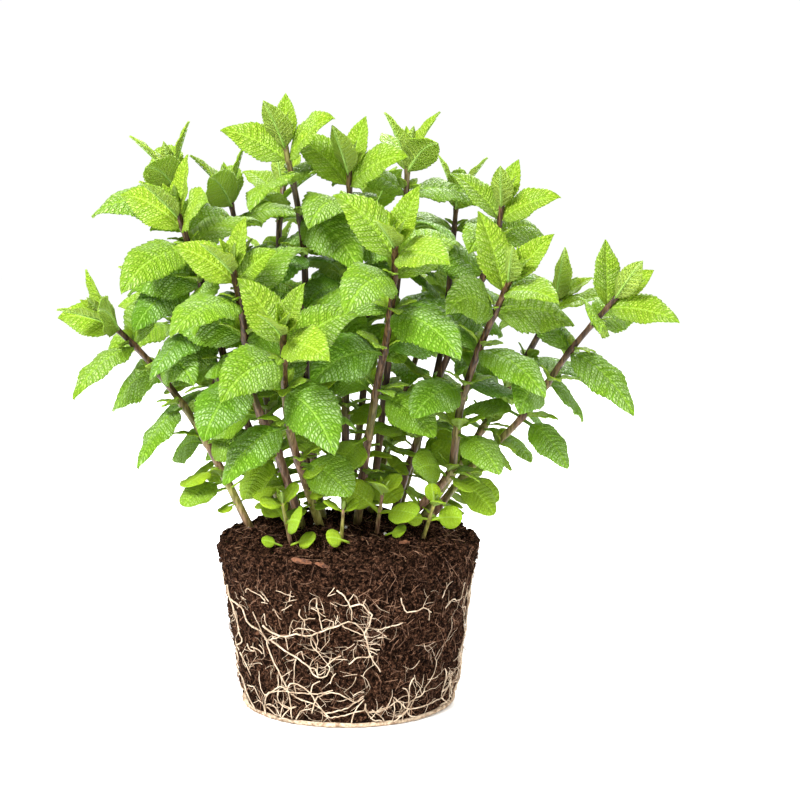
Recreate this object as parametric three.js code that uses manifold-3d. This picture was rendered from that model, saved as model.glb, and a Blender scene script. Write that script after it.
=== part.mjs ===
// A pot-grown mint plant standing on its own root ball, lifted out of its pot.
// Millimetres, +Z up, origin at the middle of the root ball's flat underside. The front is -Y.
// A tapered plug of peat sits on a felt of white roots. Leafy square stems stand in holes in the peat.
import * as THREE from "three";
import { mergeVertices } from "three/addons/utils/BufferGeometryUtils.js";
import Module from "manifold-3d";

const wasm = await Module();
wasm.setup();

// ---- driving dimensions ------------------------------------------------------------------------
const BALL_TOP_RADIUS = 62.5; // a 13 cm herb pot's peat, at its rim
const BALL_BASE_RADIUS = 51;
const BALL_HEIGHT = 80;
const MOUND = 6; // how much the peat rises in the middle
const FELT = 2.2; // thickness of the root felt under the peat
const GAP = 0.3; // between pieces that touch
const HOLE_DEPTH = 13; // how deep a stem stands in the peat, along the stem
const STALK_FOOT = 1.8; // half the width of a square stem at the soil
const STALK_TOP = 1.0; // and under its tip
const SHOOT_FOOT = 1.0; // the same for a young shoot
const SHOOT_TOP = 0.6;
const RIB_THICK = 1.2; // a blade at its rib, thinning out to its edge
const PETIOLE = 0.9; // half the width of a leaf's stalk
const RIB_STEPS = 24; // steps along a leaf's rib
const JOINT_HALF = 1.1; // half the height of the band of stem that a pair of leaves grows from
const BUD = [[2.6, 1.2], [9, 0]]; // height above the last leaves and half width, up to its point
// Where leaves turn their faces, beside their own stem's direction.
const LIGHT = { above: 1, outside: 1, front: 0.7, turned: 60 };
const MIDDLE_Y = 20; // the plant's middle, as seen from its leaves
const CLEAR_BLADE = 3.2; // least distance between the test points of two blades
const CLEAR_STALK = 4.3; // and between those of a blade and of another stem

// ---- what grows at each pair of leaves, counted from the tip down --------------------------------
// below: distance from the tip. length: leaf with its stalk. slim: width over length. rise: degrees
// above square to the stem. sag: pull towards the ground. cup: edges up (+) or down (-). stalk: share
// of the length that is leaf stalk. round: 0 pointed, 1 as round as the lowest leaves.
const PAIRS = [
  { below: 1.4, length: 27, slim: 0.48, rise: 62, sag: 0.25, cup: 0.3, stalk: 0, round: 0 },
  { below: 8, length: 37, slim: 0.53, rise: 42, sag: 0.65, cup: 0.1, stalk: 0, round: 0 },
  { below: 20, length: 45, slim: 0.53, rise: 27, sag: 1.15, cup: -0.12, stalk: 0, round: 0.05 },
  { below: 39, length: 47, slim: 0.54, rise: 17, sag: 1.35, cup: -0.2, stalk: 0, round: 0.1 },
  { below: 60, length: 43, slim: 0.57, rise: 11, sag: 1.35, cup: -0.22, stalk: 0.08, round: 0.2 },
  { below: 82, length: 36, slim: 0.61, rise: 7, sag: 1.2, cup: -0.2, stalk: 0.14, round: 0.4 },
  { below: 104, length: 29, slim: 0.66, rise: 8, sag: 0.9, cup: -0.15, stalk: 0.2, round: 0.7 },
  { below: 125, length: 22, slim: 0.72, rise: 8, sag: 0.6, cup: -0.1, stalk: 0.25, round: 0.9 },
  { below: 145, length: 17, slim: 0.78, rise: 14, sag: 0.5, cup: -0.1, stalk: 0.3, round: 1 },
];
const SHOOT_PAIRS = [
  { below: 1.2, length: 12, slim: 0.74, rise: 40, sag: 0.2, cup: 0.1, stalk: 0.15, round: 1 },
  { below: 10, length: 18, slim: 0.74, rise: 22, sag: 0.4, cup: -0.1, stalk: 0.25, round: 1 },
];
// How much leaves differ. The two pairs at a tip stand close together and differ less.
const TUFT_SPREAD = 0.4;
const SPREAD = { turn: 9, rise: 9, sag: 0.22, length: 0.1, twist: 22, roll: 12 };

// ---- the stems, front ones first --------------------------------------------------------------------
// foot: where a stem leaves the peat. way: what it passes through, up to its tip. phase turns all of
// its leaf pairs about it, in degrees. vigour scales its leaves.
const STEMS = [
  { name: "stem_front_middle", phase: 50, vigour: 1, foot: [5, -2],
    way: [[9, -8, 122], [15, -18, 158], [19, -26, 178], [22, -38, 201], [23, -52, 222]] },
  { name: "stem_front_low", phase: 45, vigour: 0.95, foot: [-14, -14],
    way: [[-25, -30, 131], [-27, -46, 158], [-26, -66, 184]] },
  { name: "stem_front_left", phase: 55, vigour: 0.95, foot: [-23, -8],
    way: [[-33, -16, 124], [-43, -28, 152], [-46, -42, 188], [-49, -54, 211]] },
  { name: "stem_right_front", phase: 40, vigour: 1, foot: [29, 0],
    way: [[48, -2, 109], [51, -4, 122], [54, -8, 145], [62, -14, 171], [71, -20, 193], [76, -26, 205]] },
  { name: "stem_far_left", phase: 45, vigour: 0.95, foot: [-50, 8],
    way: [[-63, 8, 113], [-76, 6, 137], [-95, 2, 164], [-114, -6, 185]] },
  { name: "stem_far_right", phase: 60, vigour: 0.92, foot: [40, 10],
    way: [[59, 8, 111], [85, 4, 138], [106, 0, 169], [128, -6, 196]] },
  { name: "stem_left_front", phase: 45, vigour: 0.95, foot: [-31, 10],
    way: [[-42, 8, 117], [-54, 2, 148], [-63, -6, 184], [-77, -22, 235]] },
  { name: "stem_top", phase: 70, vigour: 0.95, foot: [-13, 12],
    way: [[-20, 10, 144], [-21, 8, 217], [-29, 0, 267]] },
  { name: "stem_right_tall", phase: 65, vigour: 0.95, foot: [23, 30],
    way: [[40, 26, 142], [55, 22, 180], [70, 16, 215], [74, 12, 239]] },
  { name: "stem_back_tall", phase: 25, vigour: 0.95, foot: [11, 32],
    way: [[21, 30, 177], [27, 30, 231], [29, 30, 262]] },
  { name: "stem_left_tall", phase: 9, vigour: 0.95, foot: [-41, 26],
    way: [[-61, 24, 143], [-73, 16, 197], [-84, 8, 254]] },
  { name: "stem_left_middle", phase: 0, vigour: 0.9, foot: [-30, 30],
    way: [[-43, 30, 152], [-53, 26, 216], [-58, 22, 245]] },
  { name: "stem_middle", phase: 60, vigour: 0.95, foot: [-2, 16],
    way: [[-1, 14, 168], [1, 10, 221], [1, 2, 255]] },
  { name: "stem_right_middle", phase: 0, vigour: 0.9, foot: [25, 42],
    way: [[45, 52, 160], [51, 58, 210], [54, 62, 243]] },
  { name: "stem_back_left", phase: 60, vigour: 0.9, foot: [-16, 30],
    way: [[-30, 44, 150], [-36, 54, 215], [-34, 62, 248]] },
  { name: "stem_back_middle", phase: 30, vigour: 0.9, foot: [-1, 42],
    way: [[6, 50, 140], [10, 58, 200], [10, 68, 240]] },
  { name: "stem_rear_left", phase: 45, vigour: 0.95, foot: [-38, 44],
    way: [[-60, 56, 128], [-82, 64, 164], [-98, 68, 192]] },
  { name: "stem_rear_right", phase: 45, vigour: 0.95, foot: [38, 28],
    way: [[66, 46, 124], [88, 58, 158], [106, 64, 190]] },
  { name: "stem_rear_middle_left", phase: 0, vigour: 0.95, foot: [-16, 50],
    way: [[-28, 72, 130], [-36, 90, 170], [-42, 102, 206]] },
  { name: "stem_rear_middle_right", phase: 90, vigour: 0.95, foot: [10, 53],
    way: [[24, 76, 128], [36, 94, 164], [48, 108, 194]] },
  { name: "shoot_left", shoot: true, phase: 30, vigour: 1, foot: [-26, -34], way: [[-29, -40, 103]] },
  { name: "shoot_middle", shoot: true, phase: 0, vigour: 0.8, foot: [-2, -36], way: [[-1, -40, 100]] },
  { name: "shoot_right", shoot: true, phase: 60, vigour: 1.05, foot: [14, -22], way: [[17, -28, 106]] },
  { name: "shoot_far_right", shoot: true, phase: 100, vigour: 0.9, foot: [36, -24], way: [[41, -30, 101]] },
];

// ---- small maths -----------------------------------------------------------------------------------
const add = (a, b, k = 1) => [a[0] + b[0] * k, a[1] + b[1] * k, a[2] + b[2] * k];
const sub = (a, b) => add(a, b, -1);
const dot = (a, b) => a[0] * b[0] + a[1] * b[1] + a[2] * b[2];
const cross = (a, b) => [a[1] * b[2] - a[2] * b[1], a[2] * b[0] - a[0] * b[2], a[0] * b[1] - a[1] * b[0]];
const scaled = (a, k) => [a[0] * k, a[1] * k, a[2] * k];
const unit = (a) => scaled(a, 1 / Math.sqrt(dot(a, a)));
const mix = (a, b, k) => a + (b - a) * k;
const rad = (degrees) => (degrees * Math.PI) / 180;
const square = (a, t) => unit(add(a, t, -dot(a, t))); // the part of a that is square to t

// A seeded draw between -1 and 1.
function dice(seed) {
  let state = seed;
  return () => {
    state = (state * 16807) % 2147483647;
    return (2 * state) / 2147483647 - 1;
  };
}

// ---- peat ------------------------------------------------------------------------------------------
const wallRadius = (z) => mix(BALL_BASE_RADIUS, BALL_TOP_RADIUS, z / BALL_HEIGHT);
const wallLumps = (turn, z) =>
  0.5 * Math.sin(5 * turn + z * 0.11) +
  0.4 * Math.sin(11 * turn - z * 0.23) +
  0.3 * Math.sin(17 * turn + z * 0.31);
const topLumps = (x, y) =>
  0.9 * Math.sin(x * 0.21 + y * 0.13) +
  0.8 * Math.sin(y * 0.27 - x * 0.09) +
  0.7 * Math.sin(x * 0.43 + 1.3) * Math.sin(y * 0.39);
const soilTop = (x, y) => {
  const out = Math.min(1, Math.hypot(x, y) / BALL_TOP_RADIUS);
  return BALL_HEIGHT + MOUND * (1 - out * out) + topLumps(x, y) - 2.5 * out ** 8;
};

// ---- a stem's centre line --------------------------------------------------------------------------
const SEGMENT_STEPS = 12;

// The line's points from the soil to the tip, each with its distance from the tip. It starts straight,
// because the stem stands in a straight hole.
function centreLine(stem) {
  const foot = [...stem.foot, soilTop(...stem.foot) + (stem.shoot ? 1.5 : 4)];
  const points = [foot, ...stem.way];
  const tip = points.at(-1);
  const lead = unit(sub(points[1], foot));
  const before = add(foot, lead, -HOLE_DEPTH);
  const after = add(tip, sub(tip, points.at(-2)), 0.5);
  const p = [before, ...points, after];
  const line = [];
  for (let i = 1; i < p.length - 2; i++)
    for (let k = 0; k < SEGMENT_STEPS; k++) {
      const t = k / SEGMENT_STEPS;
      line.push(
        [0, 1, 2].map(
          (c) =>
            0.5 *
            (2 * p[i][c] +
              (p[i + 1][c] - p[i - 1][c]) * t +
              (2 * p[i - 1][c] - 5 * p[i][c] + 4 * p[i + 1][c] - p[i + 2][c]) * t * t +
              (3 * p[i][c] - p[i - 1][c] - 3 * p[i + 1][c] + p[i + 2][c]) * t * t * t),
        ),
      );
    }
  line.push(tip);
  const below = line.map(() => 0);
  for (let i = line.length - 2; i >= 0; i--) {
    const step = sub(line[i + 1], line[i]);
    below[i] = below[i + 1] + Math.sqrt(dot(step, step));
  }
  const sunk = add(foot, unit(sub(line[1], foot)), -HOLE_DEPTH);
  return { line, below, length: below[0], sunk };
}

// Point and direction at a distance below the tip.
function onLine({ line, below }, distance) {
  let i = line.length - 2;
  while (i > 0 && below[i] < distance) i--;
  const step = sub(line[i + 1], line[i]);
  const share = Math.min(1, (below[i] - distance) / (below[i] - below[i + 1]));
  return { at: add(line[i], step, share), along: unit(step) };
}

// Half the stem's width at a share of its length below the tip.
const stalkHalf = (stem, share) =>
  stem.shoot ? mix(SHOOT_TOP, SHOOT_FOOT, share) : mix(STALK_TOP, STALK_FOOT, share ** 0.45);

// ---- a leaf's shape ----------------------------------------------------------------------------------
// Half width at a share of the blade, teeth left out.
function halfWidth(leaf, share) {
  const ovate = Math.sin(Math.PI * share ** 0.74) ** 0.9;
  const oval = Math.sqrt(Math.max(0, 1 - (2 * share - 1) ** 2));
  return (mix(ovate, oval, leaf.round) * leaf.length * leaf.slim) / 2;
}

// The rib, from the stem out: at each step a place, its direction, and the blade's side and face
// directions there.
function ribOf(leaf) {
  const rows = [];
  let at = leaf.from;
  for (let i = 0; i <= RIB_STEPS; i++) {
    const share = i / RIB_STEPS;
    const along = unit(add(leaf.out, [0, 0, -1], leaf.sag * share ** 1.4));
    const flat = square(leaf.side, along);
    const turn = rad(leaf.roll + leaf.twist * share);
    const side = add(scaled(flat, Math.cos(turn)), cross(along, flat), Math.sin(turn));
    rows.push({ at, side, face: cross(along, side) });
    at = add(at, along, leaf.length / RIB_STEPS);
  }
  return rows;
}

// A point of the blade. share runs from 0 at the leaf's stalk to 1 at the tip, x from -1 to 1 across,
// wide scales the width, and lift is the height above the middle surface.
function bladePoint(leaf, rib, share, x, wide = 1, lift = 0) {
  const step = mix(leaf.stalk, 1, share) * RIB_STEPS;
  const low = Math.min(RIB_STEPS - 1, Math.floor(step));
  const between = (key) => add(scaled(rib[low][key], 1 - (step - low)), rib[low + 1][key], step - low);
  const half = halfWidth(leaf, share) * wide;
  const rise = leaf.cup * half * Math.abs(x) ** 1.5 + lift;
  return add(add(between("at"), between("side"), x * half), between("face"), rise);
}

// ---- growing: every leaf of every stem, bent clear of what is there already ---------------------------
const TEST_SHARES = [0.12, 0.25, 0.38, 0.51, 0.64, 0.77, 0.9, 1];
const TEST_ACROSS = [-0.95, -0.5, 0, 0.5, 0.95];
const NEAR_SHARE = 0.4; // leaves of one stem may meet nearer to the stem than this
// More degrees of turn and rise that a leaf tries, one after the other, and then its sizes.
const TRIES = [
  [0, 0], [14, 0], [-14, 0], [0, 12], [0, -14], [16, 12], [-16, 12], [28, 0],
  [-28, 0], [22, -14], [-22, -14], [0, 26], [40, 0], [-40, 0], [34, 20], [-34, 20],
];
const SHRINK = [1, 0.84, 0.68];

function testPoints(leaf) {
  const rib = ribOf(leaf);
  return TEST_SHARES.flatMap((share) =>
    TEST_ACROSS.map((x) => ({ p: bladePoint(leaf, rib, share, x), share })),
  );
}

function isClear(points, owner, placed, stalks) {
  for (const { p, share } of points) {
    if (Math.hypot(p[0], p[1]) < BALL_TOP_RADIUS + 3 && p[2] < soilTop(p[0], p[1]) + 2) return false;
    for (const s of stalks) {
      if (s.owner === owner) continue;
      const d = sub(p, s.p);
      if (dot(d, d) < CLEAR_STALK ** 2) return false;
    }
    for (const q of placed) {
      if (q.owner === owner && (q.tuft || share < NEAR_SHARE || q.share < NEAR_SHARE)) continue;
      const d = sub(p, q.p);
      if (dot(d, d) < CLEAR_BLADE ** 2) return false;
    }
  }
  return true;
}

// The stem's square section at a place on it: its direction, and the normals of two of its sides.
function section(stem, line, distance) {
  const { at, along } = onLine(line, distance);
  const turn = rad(stem.phase);
  const east = square([1, 0, 0], along);
  const first = add(scaled(east, Math.cos(turn)), cross(along, east), Math.sin(turn));
  return { at, along, first, second: cross(along, first), half: stalkHalf(stem, distance / line.length) };
}

// Pairs take turns between the two pairs of sides. Each call of what this returns gives the leaf again,
// turned and raised by some more degrees and made smaller.
function growLeaf(stem, line, pair, order, away, roll) {
  const distance = pair.below * (order ? stem.vigour : 1);
  const { at, along, first, second, half } = section(stem, line, distance);
  const normal = scaled(order % 2 ? second : first, away);
  const level = cross(along, normal);
  const draws = { turn: roll(), rise: roll(), sag: roll(), length: roll(), twist: roll(), roll: roll() };
  const tuft = order < 2 && !stem.shoot;
  const loose = tuft ? TUFT_SPREAD : 1;
  const outside = unit([at[0], at[1] - MIDDLE_Y, 0.01]);
  const forward = LIGHT.front * (1 + Math.abs(at[0]) / LIGHT.turned);
  const upward = add(along, [0, 0, 1], LIGHT.above);
  const skyward = add(add(upward, outside, LIGHT.outside), [0, -1, 0], forward);
  return (turnMore, riseMore, shrink) => {
    const turn = rad(loose * SPREAD.turn * draws.turn + turnMore);
    const rise = rad(pair.rise + loose * SPREAD.rise * draws.rise + riseMore);
    const outward = add(scaled(normal, Math.cos(turn)), level, Math.sin(turn));
    const out = add(scaled(outward, Math.cos(rise)), along, Math.sin(rise));
    return {
      from: add(at, normal, half),
      out,
      side: unit(cross(order ? skyward : along, out)),
      length: pair.length * shrink * stem.vigour * (1 + SPREAD.length * draws.length),
      slim: pair.slim,
      sag: pair.sag * (1 + SPREAD.sag * draws.sag),
      cup: pair.cup,
      stalk: pair.stalk,
      round: pair.round,
      twist: tuft ? 0 : SPREAD.twist * draws.twist,
      roll: tuft ? 0 : SPREAD.roll * draws.roll,
      order,
      away,
      distance,
      tuft,
    };
  };
}

function grow() {
  const lines = STEMS.map(centreLine);
  const stalks = lines.flatMap(({ line }, owner) => {
    const points = [];
    for (let i = 0; i + 1 < line.length; i++)
      for (const half of [0, 0.5]) points.push({ p: add(line[i], sub(line[i + 1], line[i]), half), owner });
    return points;
  });
  const placed = [];
  const grown = STEMS.map((stem, owner) => ({ stem, line: lines[owner], leaves: [] }));
  const longest = Math.max(PAIRS.length, SHOOT_PAIRS.length);
  for (let order = 0; order < longest; order++)
    grown.forEach(({ stem, line, leaves }, owner) => {
      const pair = (stem.shoot ? SHOOT_PAIRS : PAIRS)[order];
      if (!pair || pair.below > line.length - 8) return;
      const roll = dice(1000 + 97 * owner + 13 * order);
      roll();
      for (const away of [1, -1]) {
        const make = growLeaf(stem, line, pair, order, away, roll);
        search: for (const shrink of SHRINK)
          for (const [turnMore, riseMore] of TRIES) {
            const leaf = make(turnMore, riseMore, shrink);
            const points = testPoints(leaf);
            if (!isClear(points, owner, placed, stalks)) continue;
            placed.push(...points.map((t) => ({ ...t, owner, tuft: leaf.tuft })));
            leaves.push(leaf);
            break search;
          }
      }
    });
  return grown;
}

// ---- solids ------------------------------------------------------------------------------------------
function solidFrom(points, faces) {
  const vertProperties = new Float32Array(points.flat());
  const triVerts = new Uint32Array(faces.flat());
  return new wasm.Manifold(new wasm.Mesh({ numProp: 3, vertProperties, triVerts }));
}

function geometryFrom(solid) {
  const mesh = solid.getMesh();
  const geometry = new THREE.BufferGeometry();
  const places = new Float32Array(mesh.numVert * 3);
  for (let i = 0; i < mesh.numVert; i++)
    places.set(mesh.vertProperties.subarray(i * mesh.numProp, i * mesh.numProp + 3), 3 * i);
  geometry.setAttribute("position", new THREE.BufferAttribute(places, 3));
  geometry.setIndex(new THREE.BufferAttribute(new Uint32Array(mesh.triVerts), 1));
  return geometry;
}

// A tube through rings of the same number of points, closed at both ends.
function tubeSolid(rings) {
  const n = rings[0].length;
  const points = rings.flat();
  const faces = [];
  for (let r = 0; r + 1 < rings.length; r++)
    for (let i = 0; i < n; i++) {
      const a = r * n + i;
      const b = r * n + ((i + 1) % n);
      faces.push([a, b, a + n], [b, b + n, a + n]);
    }
  const last = (rings.length - 1) * n;
  for (let i = 1; i + 1 < n; i++) faces.push([0, i + 1, i], [last, last + i, last + i + 1]);
  return solidFrom(points, faces);
}

// The corners of a stem's square section.
const squareRing = ({ at, first, second }, half) =>
  [[1, 1], [-1, 1], [-1, -1], [1, -1]].map(([x, y]) => add(add(at, first, x * half), second, y * half));

// The part of a stem that stands in the peat keeps the section that it has at the soil.
const footSection = (stem, line, at) => ({ ...section(stem, line, line.length), at });

// Half an outline: share of the blade, and width over the smooth outline there. Above 1 is the point
// of a tooth, below 1 the notch after it.
const OUTLINES = {
  large: {
    edge: [[0.12, 1], [0.3, 1.06], [0.38, 0.88], [0.56, 1.08], [0.64, 0.85], [0.84, 1.12]],
    rib: [0.3, 0.66],
  },
  medium: { edge: [[0.14, 1], [0.42, 1.06], [0.5, 0.86], [0.74, 1.1]], rib: [0.46] },
  small: { edge: [[0.16, 1], [0.48, 1], [0.8, 1.05]], rib: [0.48] },
};
function outlineFor(leaf) {
  if (leaf.length > 25) return OUTLINES.large;
  return leaf.length > 18 ? OUTLINES.medium : OUTLINES.small;
}

// A closed blade, thick at the rib and sharp at its toothed edge, on one side of the stem. base holds
// that side's corners: lower left, lower right, upper right and upper left, seen from outside.
function addLeaf(points, faces, leaf, [lowLeft, lowRight, highRight, highLeft]) {
  const rib = ribOf(leaf);
  const outline = outlineFor(leaf);
  const put = (share, x, wide, lift) => points.push(bladePoint(leaf, rib, share, x, wide, lift)) - 1;
  const tip = [1, put(1, 0, 1, 0)];
  const neck = PETIOLE / Math.max(halfWidth(leaf, 0.03), 0.1);
  const stalk = leaf.stalk > 0.1 ? [[0.03, neck]] : [];
  const edgePoints = [...stalk, ...outline.edge];
  const sides = [-1, 1].map((x) => edgePoints.map(([share, wide]) => [share, put(share, x, wide, 0)]));
  for (const top of [true, false]) {
    const lift = (top ? RIB_THICK : -RIB_THICK) / 2;
    const ribs = [...outline.rib.map((share) => [share, put(share, 0, 1, lift)]), tip];
    sides.forEach((side, right) => {
      const start = top ? (right ? highRight : highLeft) : right ? lowRight : lowLeft;
      const edge = [[0, start], ...side, tip];
      const face = (a, b, c) => faces.push(top === !right ? [a, b, c] : [a, c, b]);
      let i = 0;
      let j = 0;
      while (i + 2 < edge.length || j + 1 < ribs.length)
        if (j + 1 >= ribs.length || (i + 2 < edge.length && edge[i + 1][0] <= ribs[j + 1][0])) {
          face(edge[i][1], edge[i + 1][1], ribs[j][1]);
          i++;
        } else {
          face(edge[i][1], ribs[j + 1][1], ribs[j][1]);
          j++;
        }
    });
    const root = ribs[0][1];
    faces.push(top ? [highRight, highLeft, root] : [lowLeft, lowRight, root]);
  }
  faces.push([highLeft, lowLeft, sides[0][0][1]], [lowRight, highRight, sides[1][0][1]]);
}

// A square stem with its leaves growing from its sides and a pointed bud on top, all one skin.
function leafyStem({ stem, line, leaves }) {
  const rings = [
    { ring: squareRing(footSection(stem, line, line.sunk), stalkHalf(stem, 1)) },
    { ring: squareRing(footSection(stem, line, line.line[0]), stalkHalf(stem, 1)) },
  ];
  const joints = [...new Set(leaves.map((leaf) => leaf.distance))].sort((a, b) => b - a);
  for (const distance of joints)
    for (const side of [1, -1]) {
      const place = section(stem, line, distance + side * JOINT_HALF);
      rings.push({ ring: squareRing(place, place.half), joint: side > 0 ? distance : undefined });
    }
  const top = section(stem, line, 0);
  for (const [height, half] of BUD.slice(0, -1)) {
    const at = add(top.at, top.along, height);
    rings.push({ ring: squareRing({ ...top, at }, half * (stem.shoot ? 0.6 : 1)) });
  }
  const points = rings.flatMap(({ ring }) => ring);
  const faces = [[0, 2, 1], [0, 3, 2]];
  for (let r = 0; r + 1 < rings.length; r++)
    for (let i = 0; i < 4; i++) {
      const a = 4 * r + i;
      const b = 4 * r + ((i + 1) % 4);
      const leaf = leaves.find((l) => l.distance === rings[r].joint && sideOf(l) === i);
      if (leaf) addLeaf(points, faces, leaf, [a, b, b + 4, a + 4]);
      else faces.push([a, b, a + 4], [b, b + 4, a + 4]);
    }
  const last = 4 * (rings.length - 1);
  const point = points.push(add(top.at, top.along, BUD.at(-1)[0] * (stem.shoot ? 0.4 : 1))) - 1;
  for (let i = 0; i < 4; i++) faces.push([last + i, last + ((i + 1) % 4), point]);
  return solidFrom(points, faces);
}

// Which side of the square section a leaf grows from, counted as squareRing's corners are.
const sideOf = (leaf) => (leaf.order % 2 ? (leaf.away > 0 ? 0 : 2) : leaf.away > 0 ? 3 : 1);

// ---- peat and roots -------------------------------------------------------------------------------------
const TURNS = 32;
const PEAT_ROWS = [0, 0.18, 0.36, 0.54, 0.72, 0.88, 0.97]; // shares of the height up the wall
const TOP_RINGS = [0.95, 0.76, 0.52, 0.26]; // shares of the radius across the top

function peatSolid(grown) {
  const points = [];
  const ringAt = (place) => {
    for (let i = 0; i < TURNS; i++) points.push(place((2 * Math.PI * i) / TURNS));
  };
  const floor = FELT + GAP;
  for (const share of PEAT_ROWS)
    ringAt((turn) => {
      const z = mix(floor, BALL_HEIGHT, share);
      const radius = wallRadius(z) + (share ? wallLumps(turn, z) : 0);
      return [radius * Math.cos(turn), radius * Math.sin(turn), z];
    });
  for (const share of TOP_RINGS)
    ringAt((turn) => {
      const x = share * BALL_TOP_RADIUS * Math.cos(turn);
      const y = share * BALL_TOP_RADIUS * Math.sin(turn);
      return [x, y, soilTop(x, y)];
    });
  const rows = PEAT_ROWS.length + TOP_RINGS.length;
  const faces = [];
  for (let r = 0; r + 1 < rows; r++)
    for (let i = 0; i < TURNS; i++) {
      const a = r * TURNS + i;
      const b = r * TURNS + ((i + 1) % TURNS);
      faces.push([a, b, a + TURNS], [b, b + TURNS, a + TURNS]);
    }
  const bottom = points.push([0, 0, floor]) - 1;
  const top = points.push([0, 0, soilTop(0, 0)]) - 1;
  const last = (rows - 1) * TURNS;
  for (let i = 0; i < TURNS; i++) {
    const j = (i + 1) % TURNS;
    faces.push([bottom, j, i], [top, last + i, last + j]);
  }
  const holes = grown.map(({ stem, line }) => {
    const { along } = section(stem, line, line.length);
    const ends = [-GAP, HOLE_DEPTH + 12].map((up) => footSection(stem, line, add(line.sunk, along, up)));
    return tubeSolid(ends.map((end) => squareRing(end, stalkHalf(stem, 1) + GAP)));
  });
  return holes.reduce((solid, hole) => solid.subtract(hole), solidFrom(points, faces));
}

// The thick roots that cling to the wall, seen from the front: thickness, then the turn in degrees
// and the height in millimetres of each point. Where roots meet they share a point.
const ROOT_RADIUS = 0.7;
const ROOT_GRAIN = 0.15; // steps finer than this are smoothed off where roots cross
const NET = [
  [1.2, [[205, 54], [217, 46], [228, 43], [230, 39], [233, 30], [239, 20], [241, 12], [242, 1]]],
  [1.2, [[230, 47], [240, 43], [254, 45], [260, 47], [264, 49], [273, 52], [279, 46]]],
  [1.1, [[230, 39], [240, 37], [247, 33], [255, 26], [260, 25], [263, 30], [268, 36]]],
  [1, [[230, 39], [240, 43]]],
  [1.1, [[199, 60], [205, 51], [206, 39], [210, 35], [202, 30], [203, 15], [206, 10], [215, 1]]],
  [1, [[258, 63], [259, 54], [260, 47]]],
  [1, [[267, 67], [272, 60], [273, 52]]],
  [1.1, [[272, 60], [278, 60], [282, 55], [279, 46], [281, 38], [284, 33], [287, 27]]],
  [1.1, [[287, 27], [291, 20], [294, 14]]],
  [1.1, [[294, 14], [303, 7], [316, 7]]],
  [1, [[303, 7], [296, 1]]],
  [1.1, [[223, 1], [225, 9], [230, 14], [240, 16], [252, 17], [264, 19]]],
  [1.1, [[240, 16], [246, 20], [255, 13], [262, 1]]],
  [1.1, [[253, 1], [255, 13], [264, 18], [275, 13], [279, 15]]],
  [1.1, [[260, 1], [268, 9], [279, 15]]],
  [1, [[273, 1], [279, 15]]],
  [0.9, [[247, 33], [244, 24], [246, 20]]],
  [1, [[299, 18], [303, 7]]],
  [1, [[296, 50], [285, 47], [279, 46]]],
  [1, [[272, 32], [277, 35], [284, 33]]],
  [0.9, [[254, 45], [256, 36], [263, 30]]],
  [0.9, [[203, 15], [217, 14], [223, 1]]],
  [0.9, [[250, 57], [254, 45]]],
  [0.9, [[264, 49], [273, 47], [279, 46]]],
];
// The net covers a third of the ball. It comes again mirrored, and again on the other side.
const NET_EDGE = 316;
const NET_TURNS = [(turn) => turn, (turn) => 2 * NET_EDGE - turn, (turn) => turn - 120];

function rootTube(route) {
  const rings = route.map(([turn, z, radius], i) => {
    const out = [Math.cos(turn), Math.sin(turn), 0];
    const reach = wallRadius(z) + 1.25 + GAP + radius;
    const at = [out[0] * reach, out[1] * reach, z];
    const [beforeTurn, beforeZ] = route[Math.max(0, i - 1)];
    const [afterTurn, afterZ] = route[Math.min(route.length - 1, i + 1)];
    const sideways = (afterTurn - beforeTurn) * reach;
    const along = unit([-out[1] * sideways, out[0] * sideways, afterZ - beforeZ]);
    const across = cross(along, out);
    return [0, 120, 240].map((corner) => {
      const c = rad(corner);
      return add(add(at, out, radius * Math.cos(c)), across, radius * Math.sin(c));
    });
  });
  const solid = tubeSolid(rings);
  return solid.volume() > 0 ? solid : tubeSolid(rings.map((ring) => [...ring].reverse()));
}

function rootsSolid() {
  const tubes = NET_TURNS.flatMap((place) =>
    NET.map(([thick, route]) =>
      rootTube(route.map(([turn, z]) => [rad(place(turn)), z, ROOT_RADIUS * thick])),
    ),
  );
  const rim = BALL_BASE_RADIUS + 2.2;
  const felt = new THREE.CylinderGeometry(rim + 0.4, rim, FELT, TURNS);
  felt.rotateX(Math.PI / 2).translate(0, 0, FELT / 2);
  felt.deleteAttribute("normal");
  felt.deleteAttribute("uv");
  const base = mergeVertices(felt, 1e-4);
  const vertProperties = base.attributes.position.array;
  const triVerts = new Uint32Array(base.index.array);
  const feltSolid = new wasm.Manifold(new wasm.Mesh({ numProp: 3, vertProperties, triVerts }));
  return tubes.reduce((solid, tube) => solid.add(tube), feltSolid).asOriginal().simplify(ROOT_GRAIN);
}

// ---- the plant ----------------------------------------------------------------------------------------
const material = (color, roughness) =>
  new THREE.MeshStandardMaterial({ color, roughness, metalness: 0, flatShading: true });
const PEAT = material(0x33221a, 0.95);
const ROOT = material(0xd9c6a4, 0.8);
const FOLIAGE = material(0x6fae22, 0.45);

function named(name, solid, look) {
  const mesh = new THREE.Mesh(geometryFrom(solid), look);
  mesh.name = name;
  return mesh;
}

const plant = new THREE.Group();
const grown = grow();
plant.add(named("root_felt", rootsSolid(), ROOT));
plant.add(named("peat", peatSolid(grown), PEAT));
for (const part of grown) plant.add(named(part.stem.name, leafyStem(part), FOLIAGE));

export default plant;
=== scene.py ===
"""A pot-grown mint plant standing on its own root ball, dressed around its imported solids.

Lengths in the growing rule are millimetres, as the plant was measured. They turn into metres
where meshes are made.
"""

import math

import bmesh
import bpy
import numpy as np
from mathutils import Matrix, Vector, noise


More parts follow.
